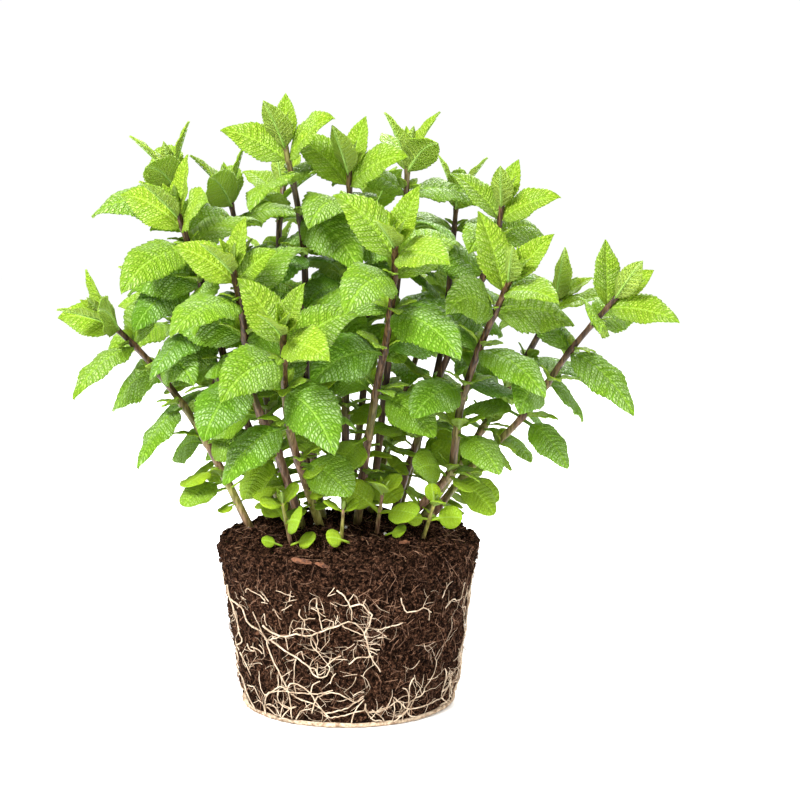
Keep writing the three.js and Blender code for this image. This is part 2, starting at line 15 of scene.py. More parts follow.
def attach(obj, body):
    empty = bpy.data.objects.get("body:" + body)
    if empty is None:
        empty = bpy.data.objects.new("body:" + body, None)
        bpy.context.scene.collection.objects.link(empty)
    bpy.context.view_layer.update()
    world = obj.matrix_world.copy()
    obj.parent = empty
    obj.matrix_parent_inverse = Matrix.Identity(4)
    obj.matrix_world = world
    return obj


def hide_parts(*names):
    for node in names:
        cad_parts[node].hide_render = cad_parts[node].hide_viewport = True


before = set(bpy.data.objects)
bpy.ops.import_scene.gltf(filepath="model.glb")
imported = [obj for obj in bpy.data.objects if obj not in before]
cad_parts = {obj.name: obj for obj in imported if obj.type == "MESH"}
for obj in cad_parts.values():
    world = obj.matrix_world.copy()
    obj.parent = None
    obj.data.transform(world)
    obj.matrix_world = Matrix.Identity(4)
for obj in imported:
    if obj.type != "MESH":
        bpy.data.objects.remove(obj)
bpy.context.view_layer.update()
MM = 0.001

# ---- the peat plug and the stems, as they were grown ----
BALL_TOP_RADIUS = 62.5
BALL_BASE_RADIUS = 51
BALL_HEIGHT = 80
MOUND = 6  # how much higher the peat is in the middle
FELT, GAP = 2.2, 0.3  # thickness of the root felt, and the room over it
HOLE_DEPTH = 13
STEM_START, SHOOT_START = 4, 1.5  # how far over the soil a stem's first point is
STALK_FOOT, STALK_TOP, STALK_TAPER = 1.8, 1.0, 0.45  # half widths, and the power between them
SHOOT_FOOT, SHOOT_TOP = 1.0, 0.6
SEGMENT_STEPS = 12  # between two places of a stem
RIB_STEPS = 24
SAG_POWER = 1.4  # a leaf bends down the more the further out it is
OVATE_LEAN, OVATE_POWER = 0.74, 0.9  # a pointed blade is widest near its start
CLEAR_BLADE, CLEAR_STALK = 3.2, 4.3  # room to other leaves and to other stems
CLEAR_BESIDE, CLEAR_ABOVE = 3, 2  # room round the ball and over it
NEAR_SHARE = 0.4  # up to here a stem's own leaves may touch
LOWEST_PAIR = 8  # no grown leaves nearer the foot than this
MIDDLE_Y = 20  # the leaves turn away from a middle this far behind the ball's
LIGHT_ABOVE, LIGHT_OUTSIDE, LIGHT_FRONT = 1, 1, 0.7  # where leaves turn their faces
LIGHT_TURNED = 60  # this far to a side they turn to the front twice as much

# below the tip, length, width over length, rise, sag, cup, leaf stalk's share, roundness
PAIRS = [
    (1.4, 27, 0.48, 62, 0.25, 0.3, 0, 0),
    (8, 37, 0.53, 42, 0.65, 0.1, 0, 0),
    (20, 45, 0.53, 27, 1.15, -0.12, 0, 0.05),
    (39, 47, 0.54, 17, 1.35, -0.2, 0, 0.1),
    (60, 43, 0.57, 11, 1.35, -0.22, 0.08, 0.2),
    (82, 36, 0.61, 7, 1.2, -0.2, 0.14, 0.4),
    (104, 29, 0.66, 8, 0.9, -0.15, 0.2, 0.7),
    (125, 22, 0.72, 8, 0.6, -0.1, 0.25, 0.9),
    (145, 17, 0.78, 14, 0.5, -0.1, 0.3, 1),
]
SHOOT_PAIRS = [
    (1.2, 12, 0.74, 40, 0.2, 0.1, 0.15, 1),
    (10, 18, 0.74, 22, 0.4, -0.1, 0.25, 1),
]
TUFT_SPREAD = 0.4
SPREAD = {"turn": 9, "rise": 9, "sag": 0.22, "length": 0.1, "twist": 22, "roll": 12}

# name, turn of the leaf pairs, vigour, foot, and the places it passes through up to its tip
STEMS = [
    ("stem_front_middle", 50, 1, (5, -2), (9, -8, 122), (15, -18, 158), (19, -26, 178),
     (22, -38, 201), (23, -52, 222)),
    ("stem_front_low", 45, 0.95, (-14, -14), (-25, -30, 131), (-27, -46, 158), (-26, -66, 184)),
    ("stem_front_left", 55, 0.95, (-23, -8), (-33, -16, 124), (-43, -28, 152), (-46, -42, 188),
     (-49, -54, 211)),
    ("stem_right_front", 40, 1, (29, 0), (48, -2, 109), (51, -4, 122), (54, -8, 145),
     (62, -14, 171), (71, -20, 193), (76, -26, 205)),
    ("stem_far_left", 45, 0.95, (-50, 8), (-63, 8, 113), (-76, 6, 137), (-95, 2, 164), (-114, -6, 185)),
    ("stem_far_right", 60, 0.92, (40, 10), (59, 8, 111), (85, 4, 138), (106, 0, 169), (128, -6, 196)),
    ("stem_left_front", 45, 0.95, (-31, 10), (-42, 8, 117), (-54, 2, 148), (-63, -6, 184),
     (-77, -22, 235)),
    ("stem_top", 70, 0.95, (-13, 12), (-20, 10, 144), (-21, 8, 217), (-29, 0, 267)),
    ("stem_right_tall", 65, 0.95, (23, 30), (40, 26, 142), (55, 22, 180), (70, 16, 215), (74, 12, 239)),
    ("stem_back_tall", 25, 0.95, (11, 32), (21, 30, 177), (27, 30, 231), (29, 30, 262)),
    ("stem_left_tall", 9, 0.95, (-41, 26), (-61, 24, 143), (-73, 16, 197), (-84, 8, 254)),
    ("stem_left_middle", 0, 0.9, (-30, 30), (-43, 30, 152), (-53, 26, 216), (-58, 22, 245)),
    ("stem_middle", 60, 0.95, (-2, 16), (-1, 14, 168), (1, 10, 221), (1, 2, 255)),
    ("stem_right_middle", 0, 0.9, (25, 42), (45, 52, 160), (51, 58, 210), (54, 62, 243)),
    ("stem_back_left", 60, 0.9, (-16, 30), (-30, 44, 150), (-36, 54, 215), (-34, 62, 248)),
    ("stem_back_middle", 30, 0.9, (-1, 42), (6, 50, 140), (10, 58, 200), (10, 68, 240)),
    ("stem_rear_left", 45, 0.95, (-38, 44), (-60, 56, 128), (-82, 64, 164), (-98, 68, 192)),
    ("stem_rear_right", 45, 0.95, (38, 28), (66, 46, 124), (88, 58, 158), (106, 64, 190)),
    ("stem_rear_middle_left", 0, 0.95, (-16, 50), (-28, 72, 130), (-36, 90, 170), (-42, 102, 206)),
    ("stem_rear_middle_right", 90, 0.95, (10, 53), (24, 76, 128), (36, 94, 164), (48, 108, 194)),
    ("shoot_left", 30, 1, (-26, -34), (-29, -40, 103)),
    ("shoot_middle", 0, 0.8, (-2, -36), (-1, -40, 100)),
    ("shoot_right", 60, 1.05, (14, -22), (17, -28, 106)),
    ("shoot_far_right", 100, 0.9, (36, -24), (41, -30, 101)),
]
X_AXIS = np.array([1.0, 0, 0])
UP = np.array([0, 0, 1.0])
FRONT = np.array([0, -1.0, 0])


# ---- small maths ----
def unit(a):
    return a / math.sqrt(a @ a)


def square(a, t):
    """The part of a that is square to t."""
    return unit(a - t * (a @ t))


def mix(a, b, share):
    return a + (b - a) * share


def curve_point(p, i, t):
    """The place at t between p[i] and p[i + 1], on a smooth curve through all of p."""
    bend = (2 * p[i - 1] - 5 * p[i] + 4 * p[i + 1] - p[i + 2]) * t * t
    swing = (3 * p[i] - p[i - 1] - 3 * p[i + 1] + p[i + 2]) * t * t * t
    return 0.5 * (2 * p[i] + (p[i + 1] - p[i - 1]) * t + bend + swing)


class Dice:
    """Seeded draws between -1 and 1."""

    FACTOR, TOP = 16807, 2147483647

    def __init__(self, seed):
        self.state = seed

    def __call__(self):
        self.state = (self.state * self.FACTOR) % self.TOP
        return 2 * self.state / self.TOP - 1

    def between(self, low, high):
        return mix(low, high, (self() + 1) / 2)


# ---- the ball's form ----
def wall_radius(z):
    return mix(BALL_BASE_RADIUS, BALL_TOP_RADIUS, z / BALL_HEIGHT)


def wall_lumps(turn, z):
    return (
        0.5 * math.sin(5 * turn + z * 0.11)
        + 0.4 * math.sin(11 * turn - z * 0.23)
        + 0.3 * math.sin(17 * turn + z * 0.31)
    )


def soil_top(x, y):
    out = min(1, math.hypot(x, y) / BALL_TOP_RADIUS)
    lumps = (
        0.9 * math.sin(x * 0.21 + y * 0.13)
        + 0.8 * math.sin(y * 0.27 - x * 0.09)
        + 0.7 * math.sin(x * 0.43 + 1.3) * math.sin(y * 0.39)
    )
    return BALL_HEIGHT + MOUND * (1 - out * out) + lumps - 2.5 * out**8


# ---- growing ----
class Stem:
    """A stem's centre line, from the soil to the tip, with each point's distance from the tip."""

    def __init__(self, number, name, phase, vigour, foot, *way):
        self.number, self.name, self.phase, self.vigour = number, name, phase, vigour
        self.shoot = name.startswith("shoot")
        over = SHOOT_START if self.shoot else STEM_START
        start = np.array([*foot, soil_top(*foot) + over], float)
        points = [start, *(np.array(place, float) for place in way)]
        before = start - HOLE_DEPTH * unit(points[1] - start)
        after = points[-1] + 0.5 * (points[-1] - points[-2])
        p = [before, *points, after]
        shares = np.arange(SEGMENT_STEPS) / SEGMENT_STEPS
        line = [curve_point(p, i, t) for i in range(1, len(p) - 2) for t in shares]
        self.line = np.array([*line, points[-1]])
        steps = np.linalg.norm(np.diff(self.line, axis=0), axis=1)
        self.below = np.append(np.cumsum(steps[::-1])[::-1], 0.0)
        self.length = self.below[0]
        self.leaves, self.axils, self.low = [], [], []

    def half(self, share):
        if self.shoot:
            return mix(SHOOT_TOP, SHOOT_FOOT, share)
        return mix(STALK_TOP, STALK_FOOT, share**STALK_TAPER)

    def section(self, distance):
        """At a distance below the tip: the place, the stem's direction and its sides' normals."""
        i = len(self.line) - 2
        while i > 0 and self.below[i] < distance:
            i -= 1
        step = self.line[i + 1] - self.line[i]
        share = min(1, (self.below[i] - distance) / (self.below[i] - self.below[i + 1]))
        along = unit(step)
        east = square(X_AXIS, along)
        turn = math.radians(self.phase)
        first = math.cos(turn) * east + math.sin(turn) * np.cross(along, east)
        return self.line[i] + share * step, along, first, np.cross(along, first)


class Leaf:
    """A leaf's measures, and its rib worked out from them."""

    sag = cup = stalk = round = twist = roll = age = distance = 0
    tuft = False

    def __init__(self, **measures):
        self.__dict__.update(measures)
        at, places, sides, faces, alongs = self.start, [], [], [], []
        for i in range(RIB_STEPS + 1):
            share = i / RIB_STEPS
            along = unit(self.out - UP * (self.sag * share**SAG_POWER))
            flat = square(self.side, along)
            turn = math.radians(self.roll + self.twist * share)
            side = math.cos(turn) * flat + math.sin(turn) * np.cross(along, flat)
            places.append(at)
            sides.append(side)
            faces.append(np.cross(along, side))
            alongs.append(along)
            at = at + along * (self.length / RIB_STEPS)
        self.rows = [np.array(rows) for rows in (places, sides, faces, alongs)]

    def half_width(self, share):
        """Half width at shares of the blade, teeth left out."""
        ovate = np.sin(np.pi * share**OVATE_LEAN).clip(0) ** OVATE_POWER
        oval = np.sqrt((1 - (2 * share - 1) ** 2).clip(0))
        return mix(ovate, oval, self.round) * self.length * self.slim / 2

    def rib(self, share):
        """The rib's place, side, face and direction at shares of the blade."""
        step = mix(self.stalk, 1, share) * RIB_STEPS
        low = np.clip(np.floor(step).astype(int), 0, RIB_STEPS - 1)
        part = (step - low)[..., None]
        return [rows[low] * (1 - part) + rows[low + 1] * part for rows in self.rows]


TEST_SHARES = np.array([0.12, 0.25, 0.38, 0.51, 0.64, 0.77, 0.9, 1])
TEST_ACROSS = np.array([-0.95, -0.5, 0, 0.5, 0.95])
# what a leaf that has no room tries: more turn and rise in degrees, then a smaller size
TRIES = [
    (0, 0), (14, 0), (-14, 0), (0, 12), (0, -14), (16, 12), (-16, 12), (28, 0),
    (-28, 0), (22, -14), (-22, -14), (0, 26), (40, 0), (-40, 0), (34, 20), (-34, 20),
]
SHRINK = [1, 0.84, 0.68]


def test_points(leaf):
    share = np.repeat(TEST_SHARES, len(TEST_ACROSS))
    across = np.tile(TEST_ACROSS, len(TEST_SHARES))
    half = leaf.half_width(share)
    at, side, face, _ = leaf.rib(share)
    rise = leaf.cup * half * np.abs(across) ** 1.5
    return at + side * (across * half)[:, None] + face * rise[:, None], share


class Space:
    """What stands in the way of a new leaf."""

    def __init__(self, stems):
        lines = [
            np.stack([stem.line[:-1], stem.line[:-1] + np.diff(stem.line, axis=0) * 0.5], 1)
            for stem in stems
        ]
        self.stalks = np.vstack([line.reshape(-1, 3) for line in lines])
        self.stalk_owners = np.repeat(range(len(stems)), [2 * len(line) for line in lines])
        self.places = np.zeros((0, 3))
        self.owners, self.shares, self.tufts = np.zeros(0, int), np.zeros(0), np.zeros(0, bool)

    def fits(self, leaf, owner, near=1):
        """Takes the leaf's place if it is clear. near draws its points closer to its own stem."""
        points, shares = test_points(leaf)
        if not self.is_clear(points, shares * near, owner):
            return False
        self.places = np.vstack([self.places, points])
        self.owners = np.append(self.owners, [owner] * len(points))
        self.shares = np.append(self.shares, shares)
        self.tufts = np.append(self.tufts, [leaf.tuft] * len(points))
        return True

    def is_clear(self, points, shares, owner):
        for x, y, z in points:
            beside = math.hypot(x, y) - BALL_TOP_RADIUS
            if beside < CLEAR_BESIDE and z < soil_top(x, y) + CLEAR_ABOVE:
                return False
        gaps, near = self.gaps(points, self.stalks, CLEAR_STALK)
        if ((gaps < CLEAR_STALK**2) & (self.stalk_owners[near] != owner)).any():
            return False
        gaps, near = self.gaps(points, self.places, CLEAR_BLADE)
        inner = (self.shares[near] < NEAR_SHARE) | (shares[:, None] < NEAR_SHARE)
        joined = (self.owners[near] == owner) & (self.tufts[near] | inner)
        return not ((gaps < CLEAR_BLADE**2) & ~joined).any()

    def gaps(self, points, others, room):
        """Squares of the gaps to the other points in reach, and which those are."""
        near = ((others > points.min(0) - room) & (others < points.max(0) + room)).all(1)
        return ((points[:, None] - others[near][None]) ** 2).sum(2), near


# how dark a pair's leaves have grown, from the tip down, and a shoot's
AGES = [0.02, 0.2, 0.48, 0.72, 0.86, 0.68, 0.36, 0.17, 0.08]
SHOOT_AGE, AGE_SPREAD = 0.12, 0.1


def leaf_maker(stem, pair, order, away, roll):
    """A function that makes the leaf, turned and raised by some more degrees and made smaller."""
    below, length, slim, rise, sag, cup, stalk, roundness = pair
    distance = below * (stem.vigour if order else 1)
    at, along, first, second = stem.section(distance)
    normal = (second if order % 2 else first) * away
    level = np.cross(along, normal)
    draws = {key: roll() for key in SPREAD}
    tuft = order < 2 and not stem.shoot
    loose = TUFT_SPREAD if tuft else 1
    outside = unit(np.array([at[0], at[1] - MIDDLE_Y, 0.01]))
    forward = LIGHT_FRONT * (1 + abs(at[0]) / LIGHT_TURNED)
    skyward = along + LIGHT_ABOVE * UP + LIGHT_OUTSIDE * outside + forward * FRONT

    def make(turn_more, rise_more, shrink):
        turn = math.radians(loose * SPREAD["turn"] * draws["turn"] + turn_more)
        lift = math.radians(rise + loose * SPREAD["rise"] * draws["rise"] + rise_more)
        outward = math.cos(turn) * normal + math.sin(turn) * level
        out = math.cos(lift) * outward + math.sin(lift) * along
        return Leaf(
            start=at + normal * stem.half(distance / stem.length),
            out=out,
            side=unit(np.cross(skyward if order else along, out)),
            length=length * shrink * stem.vigour * (1 + SPREAD["length"] * draws["length"]),
            slim=slim,
            sag=sag * (1 + SPREAD["sag"] * draws["sag"]),
            cup=cup,
            stalk=stalk,
            round=roundness,
            twist=0 if tuft else SPREAD["twist"] * draws["twist"],
            roll=0 if tuft else SPREAD["roll"] * draws["roll"],
            order=order,
            tuft=tuft,
            distance=distance,
            tone=draws["twist"],
            age=(SHOOT_AGE if stem.shoot else AGES[order]) + AGE_SPREAD * draws["rise"],
        )

    return make


def grow():
    stems = [Stem(number, *row) for number, row in enumerate(STEMS)]
    space = Space(stems)
    for order in range(len(PAIRS)):
        for stem in stems:
            pairs = SHOOT_PAIRS if stem.shoot else PAIRS
            if order < len(pairs) and pairs[order][0] <= stem.length - LOWEST_PAIR:
                grow_pair(stem, pairs[order], order, space)
    for stem in stems:
        if not stem.shoot:
            grow_axils(stem, space)
            grow_low_leaves(stem, space)
        grow_seedlings(stem)
    return stems


def grow_pair(stem, pair, order, space):
    """Two leaves, one on each side of the stem, each in the first try that has room."""
    roll = Dice(1000 + 97 * stem.number + 13 * order)
    roll()
    for away in (1, -1):
        make = leaf_maker(stem, pair, order, away, roll)
        tries = (make(turn, rise, shrink) for shrink in SHRINK for turn, rise in TRIES)
        leaf = next((leaf for leaf in tries if space.fits(leaf, stem.number)), None)
        if leaf:
            stem.leaves.append(leaf)


# the small leaves beside the grown ones: form, and the middle and reach of what is drawn
AXIL_FORM = {"slim": 0.56, "sag": 0.5, "cup": 0.1, "stalk": 0.12, "round": 0.3}
AXIL_DRAWS = {"twist": (0, 12), "roll": (0, 14), "tone": (0, 1), "age": (0.2, 0.15)}
LOW_FORM = {"slim": 0.84, "sag": 0.35, "cup": -0.08, "stalk": 0.3, "round": 1}
LOW_DRAWS = {"twist": (0, 14), "roll": (0, 12), "tone": (0, 1), "age": (0.22, 0.22)}
# lengths of the small leaves that start in the crook over each leaf, by its pair
AXIL_LENGTHS = {2: 8, 3: 11, 4: 14, 5: 14, 6: 13, 7: 11}
AXIL_ABOVE = 2.6  # how far over their leaf they start
AXIL_NEAR = 0.39
# heights above a stem's foot where small round leaves stand, and their lengths
LOW_LEAVES = [(17, 15), (29, 18), (9, 12)]
# round leaves that come straight from the peat beside a stem: place, turn, length
SEEDLINGS = {
    "shoot_middle": [(1, -45, 205, 11)],
    "shoot_right": [(19, -29, 335, 10)],
    "shoot_left": [(-24, -42, 335, 12), (-30, -41, 190, 9)],
    "stem_rear_middle_left": [(-18, 51, 60, 12), (-24, 48, 170, 9)],
    "stem_right_middle": [(41, 33, 110, 11)],
}


def small_leaf(form, draws, start, out, facing, length, roll):
    drawn = {key: middle + reach * roll() for key, (middle, reach) in draws.items()}
    side = unit(np.cross(facing, out))
    return Leaf(start=start, out=out, side=side, length=length, **form, **drawn)


def grow_axils(stem, space):
    """Two small leaves in the crook over each grown leaf, where there is room."""
    roll = Dice(6007 + 31 * stem.number)
    for leaf in stem.leaves:
        if leaf.order not in AXIL_LENGTHS:
            continue
        at, along, _, _ = stem.section(max(1, leaf.distance - AXIL_ABOVE))
        normal = square(leaf.out, along)
        level = np.cross(along, normal)
        start = at + normal * stem.half(leaf.distance / stem.length) * 0.9
        for sideways in (1, -1):
            out = normal * (0.75 + 0.2 * roll()) + along * (0.75 + 0.3 * roll())
            out = unit(out + level * sideways * 0.6)
            length = AXIL_LENGTHS[leaf.order] * stem.vigour * (1 + 0.25 * roll())
            facing = along + 0.6 * UP
            small = small_leaf(AXIL_FORM, AXIL_DRAWS, start, out, facing, length, roll)
            if space.fits(small, stem.number, AXIL_NEAR):
                stem.axils.append(small)


def grow_low_leaves(stem, space):
    """Small round leaves near the peat, where there is room."""
    roll = Dice(7001 + 53 * stem.number)
    for above, length in LOW_LEAVES:
        at, along, first, second = stem.section(stem.length - above)
        half = stem.half(1 - above / stem.length)
        for normal in (first, second, -first, -second):
            out = unit(normal + along * (0.25 + 0.2 * roll()))
            grown = length * (1 + 0.2 * roll())
            leaf = small_leaf(LOW_FORM, LOW_DRAWS, at + normal * half, out, along, grown, roll)
            if space.fits(leaf, stem.number):
                stem.low.append(leaf)


def grow_seedlings(stem):
    roll = Dice(8009 + 17 * stem.number)
    for x, y, turn, length in SEEDLINGS.get(stem.name, []):
        start = np.array([x, y, soil_top(x, y) + 1.5])
        turn = math.radians(turn)
        out = unit(np.array([math.cos(turn), math.sin(turn), 0.7 + 0.3 * roll()]))
        facing = UP + 0.9 * unit(np.array([x, y, 0]))
        stem.low.append(small_leaf(LOW_FORM, LOW_DRAWS, start, out, facing, length, roll))


# ---- meshes ----
def mesh_of(bm, name):
    mesh = bpy.data.meshes.new(name)
    bm.to_mesh(mesh)
    bm.free()
    return mesh


def put(name, data):
    """Puts a new object with this data in the scene."""
    thing = bpy.data.objects.new(name, data)
    bpy.context.scene.collection.objects.link(thing)
    return thing


def dress(name, data, finishes):
    """Makes a mesh or a curve a piece that rides on the plant."""
    piece = put(name, data)
    for finish in finishes:
        data.materials.append(finish)
    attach(piece, "root")
    return piece


def piece_from(bm, name, finishes, smooth=True):
    mesh = mesh_of(bm, name)
    if smooth:
        mesh.shade_smooth()
    else:
        mesh.shade_flat()
    return dress(name, mesh, finishes)


def placed(at, x, z):
    """The matrix that puts a shape at a place with these axes, from millimetres to metres."""
    turn = Matrix((x, z.cross(x), z)).transposed().to_4x4()
    return Matrix.Translation(Vector(at) * MM) @ turn @ Matrix.Scale(MM, 4)


def tube(bm, frames, profile, sides):
    """A closed tube. frames are the matrices that place its section, whose verts profile shapes."""
    made = bmesh.ops.create_circle(bm, segments=sides, radius=1)["verts"]
    for vert in made:
        vert.co = profile(vert.co)
    bmesh.ops.transform(bm, matrix=frames[0], verts=made)
    ring = list(dict.fromkeys(edge for vert in made for edge in vert.link_edges))
    bmesh.ops.contextual_create(bm, geom=ring)
    for before, after in zip(frames, frames[1:]):
        grown = bmesh.ops.extrude_edge_only(bm, edges=ring)["geom"]
        verts = [part for part in grown if isinstance(part, bmesh.types.BMVert)]
        edges = [part for part in grown if isinstance(part, bmesh.types.BMEdge)]
        ring = [edge for edge in edges if all(vert in verts for vert in edge.verts)]
        bmesh.ops.transform(bm, matrix=after @ before.inverted(), verts=verts)
    bmesh.ops.contextual_create(bm, geom=ring)


# ---- leaves ----
BLADE_THICKNESS = 0.5
PETIOLE = 1.0  # half the width of a leaf's own stalk
PETIOLE_SINK = 1.2  # how far it starts inside the stem
PETIOLE_LEAF, RIB_LEAF, LARGE_LEAF = 20, 30, 40  # lengths of leaves with full stalks, ribs and swells
TOOTH_ROWS = 3
TOOTH_DEPTH, TOOTH_MIDDLE = 0.085, 0.45  # shares of the half width, and of the tooth
TOOTH_LEAN = 0.45  # how far forward its tip is drawn, in rows
CELL = 1.5  # width of the raised cells between a blade's finest veins
VEIN_LEAN = 0.2  # how far forward a side vein runs by the time it meets the edge
SWELL, FOLD = 0.75, 0.9  # how far a large blade stands up from its side veins and its rib
RIPPLE, RIPPLES = 0.085, 2.6  # how far its edge goes up and down, and how often
PLANS = [  # for blades longer than so much: teeth a side, side veins, rows across, stalk rows
    {"over": 25, "teeth": 15, "veins": 11, "across": 12, "stalk": 3},
    {"over": 17, "teeth": 10, "veins": 8, "across": 8, "stalk": 3},
    {"over": 0, "teeth": 5, "veins": 5, "across": 4, "stalk": 2},
]


def rise_to_one(share, slope):
    return np.minimum(1, slope * share)


def beside_groove(away, width):
    """0 in a groove and 1 well away from it."""
    return 1 - np.exp(-((away / width) ** 2))


def add_blade(bm, leaf, layers, roll):
    """A toothed, quilted blade, bent from a flat grid to the leaf's rib."""
    plan = next(p for p in PLANS if leaf.length > p["over"])
    rows = plan["stalk"] + TOOTH_ROWS * plan["teeth"]
    verts = bmesh.ops.create_grid(bm, x_segments=rows, y_segments=plan["across"], size=1)["verts"]
    grid = np.array([vert.co for vert in verts])
    row, across = np.rint((grid[:, 0] + 1) / 2 * rows), grid[:, 1]
    edge = np.abs(across)
    on_blade = row >= plan["stalk"]
    before = (plan["stalk"] - row).clip(0) / plan["stalk"]
    share = ((row - plan["stalk"]) / (rows - plan["stalk"])).clip(0, 1)

    # teeth point forward: the width grows over each one and drops behind its tip
    phase = (row - plan["stalk"]) % TOOTH_ROWS
    depth = TOOTH_DEPTH * (1 - 0.85 * leaf.round) * rise_to_one(share, 6) * rise_to_one(1 - share, 8)
    tooth = depth * (phase / (TOOTH_ROWS - 1) - TOOTH_MIDDLE) * edge**5
    forward = np.where(phase == TOOTH_ROWS - 1, TOOTH_LEAN, 0) * edge**6 / rows
    reach = (share + forward).clip(0, 1)
    half = np.where(on_blade, leaf.half_width(reach), 0)
    half = np.maximum(half, PETIOLE * min(1, leaf.length / PETIOLE_LEAF) * (1 - 7 * share).clip(0))
    half *= 1 + tooth * (share < 0.995)
    at, side, face, along = leaf.rib(np.where(on_blade, reach, -before * leaf.stalk / (1 - leaf.stalk)))
    at -= along * (before * PETIOLE_SINK)[:, None]

    # the blade swells between its side veins and folds down along its rib
    vein = (share - VEIN_LEAN * edge**1.25 * (1 - 0.6 * share)) * plan["veins"]
    size = leaf.length / LARGE_LEAF
    inner = (1 - edge**4) * rise_to_one(share, 8) * rise_to_one(1 - share, 5)
    swell = SWELL * size * beside_groove(np.abs((vein + 0.5) % 1 - 0.5), 0.22) * inner
    fold = FOLD * size * beside_groove(edge, 0.2) * np.minimum(1, 6 * share + 0.2)
    wave = np.sin(2 * np.pi * (RIPPLES * share + roll() + 0.23 * np.sign(across)))
    ripple = RIPPLE * (1 - 0.6 * leaf.round) * half * wave * edge**2 * rise_to_one(share, 5)
    lift = leaf.cup * half * edge**1.5 + swell + fold + ripple
    places = (at + side * (across * half)[:, None] + face * lift[:, None]) * MM
    crisp = 1 - 0.62 * leaf.round
    for vert, place, along_rib, beside in zip(verts, places, vein, across * half / CELL):
        vert.co = place
        vert[layers["quilt"]] = Vector((along_rib, beside, crisp))
        vert[layers["tint"]] = Vector((leaf.age, leaf.tone, abs(beside)))


RIB_UNDER = 0.5  # radius of the raised rib under a blade, at its start
RIB_PARTS, RIB_SIDES = 10, 5


def add_under_rib(bm, leaf):
    """The rib that stands out under a blade, and is the leaf's stalk before it."""
    shares = np.linspace(-leaf.stalk / (1 - leaf.stalk), 0.86, RIB_PARTS + 1)
    at, _, face, along = leaf.rib(shares)
    at[0] -= along[0] * PETIOLE_SINK
    scale = min(1, leaf.length / RIB_LEAF)
    frames = []
    for i in range(RIB_PARTS + 1):
        radius = RIB_UNDER * scale * mix(1.25, 0.35, i / RIB_PARTS)
        z = Vector(along[i]).normalized()
        x = Vector(face[i]).normalized().cross(z)
        centre = at[i] - face[i] * (0.25 * scale)
        frames.append(placed(centre, x, z) @ Matrix.Scale(radius, 4))
    tube(bm, frames, lambda co: co, RIB_SIDES)


# the smallest leaves, which stand in the middle of each tip: above the tip, length, rise, cup, side
INNER_LEAVES = [(0.4, 15, 74, 0.42, 1), (1.2, 10, 82, 0.55, 0)]
INNER_FORM = {"slim": 0.42, "sag": 0.12}


def inner_leaves(stem):
    """The youngest leaves, standing together where the solid has a bud."""
    at, along, first, second = stem.section(0)
    scale = 0.45 if stem.shoot else 1
    leaves = []
    for above, length, rise, cup, turned in INNER_LEAVES:
        length = length * scale * stem.vigour
        for away in (1, -1):
            normal = (second if turned else first) * away
            lift = math.radians(rise)
            out = math.cos(lift) * normal + math.sin(lift) * along
            start, side = at + along * above + normal * 0.5, unit(np.cross(along, out))
            form = {"length": length, "cup": cup, "tone": 0.2 * away, **INNER_FORM}
            leaves.append(Leaf(start=start, out=out, side=side, **form))
    return leaves


def leaves_piece(stem, finishes):
    bm = bmesh.new()
    layers = {name: bm.verts.layers.float_vector.new(name) for name in ("quilt", "tint")}
    roll = Dice(31 + 7 * stem.number)
    for leaf in stem.leaves + stem.axils + stem.low + inner_leaves(stem):
        add_blade(bm, leaf, layers, roll)
    piece = piece_from(bm, stem.name + "_leaves", finishes)
    skin = piece.modifiers.new("thickness", "SOLIDIFY")
    skin.thickness = BLADE_THICKNESS * MM
    skin.offset = 0
    skin.material_offset = 1
    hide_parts(stem.name)


def ribs_piece(stems, finish):
    bm = bmesh.new()
    for stem in stems:
        for leaf in stem.leaves:
            add_under_rib(bm, leaf)
    bmesh.ops.recalc_face_normals(bm, faces=bm.faces)
    piece_from(bm, "leaf_ribs", [finish])


# ---- stems ----
STALK_SIDES = 16
STALK_STEP = 2.5
STALK_SINK = 7  # how far it goes on into the peat
JOINT_SWELL, JOINT_REACH = 0.28, 1.7  # it is thicker so near a pair of leaves


def square_profile(co):
    """Rounds a circle out to a mint's square stem with a shallow groove down each side."""
    turn = math.atan2(co.y, co.x)
    four = math.cos(4 * (turn - math.pi / 4))
    return co * (1.04 + 0.11 * four)


def stalk_piece(stem, finish):
    bm = bmesh.new()
    joints = sorted({leaf.distance for leaf in stem.leaves})
    foot_at, along, first, second = stem.section(stem.length)
    places = [(foot_at - along * STALK_SINK, along, first, second, stem.half(1))]
    count = math.ceil(stem.length / STALK_STEP)
    for i in range(count + 1):
        distance = stem.length * (1 - i / count)
        swell = sum(math.exp(-(((distance - joint) / JOINT_REACH) ** 2)) for joint in joints)
        half = stem.half(distance / stem.length) * (1 + JOINT_SWELL * swell)
        places.append((*stem.section(distance), half))
    frames = [
        placed(at, Vector(first), Vector(along)) @ Matrix.Scale(half, 4)
        for at, along, first, _, half in places
    ]
    tube(bm, frames, square_profile, STALK_SIDES)
    bmesh.ops.recalc_face_normals(bm, faces=bm.faces)
    piece_from(bm, stem.name + "_stalk", [finish])


# ---- peat ----
PEAT_TURNS, FELT_TURNS = 440, 300
PEAT_STEP = 0.85  # between the rings of the peat's surface
RIM_ROUND = 2  # how far down and in its rim is rounded
PEAT_CLODS = [(6.5, 1.5), (2.5, 0.8), (1.4, 0.6)]  # size and height of its lumps
WARP_SIZE, WARP = 2.6, 1.4  # size and reach of the noise that bends the lumps out of shape
ROUGH_FROM, CLODS_FROM = 58, 66  # heights on the wall from which it grows rougher
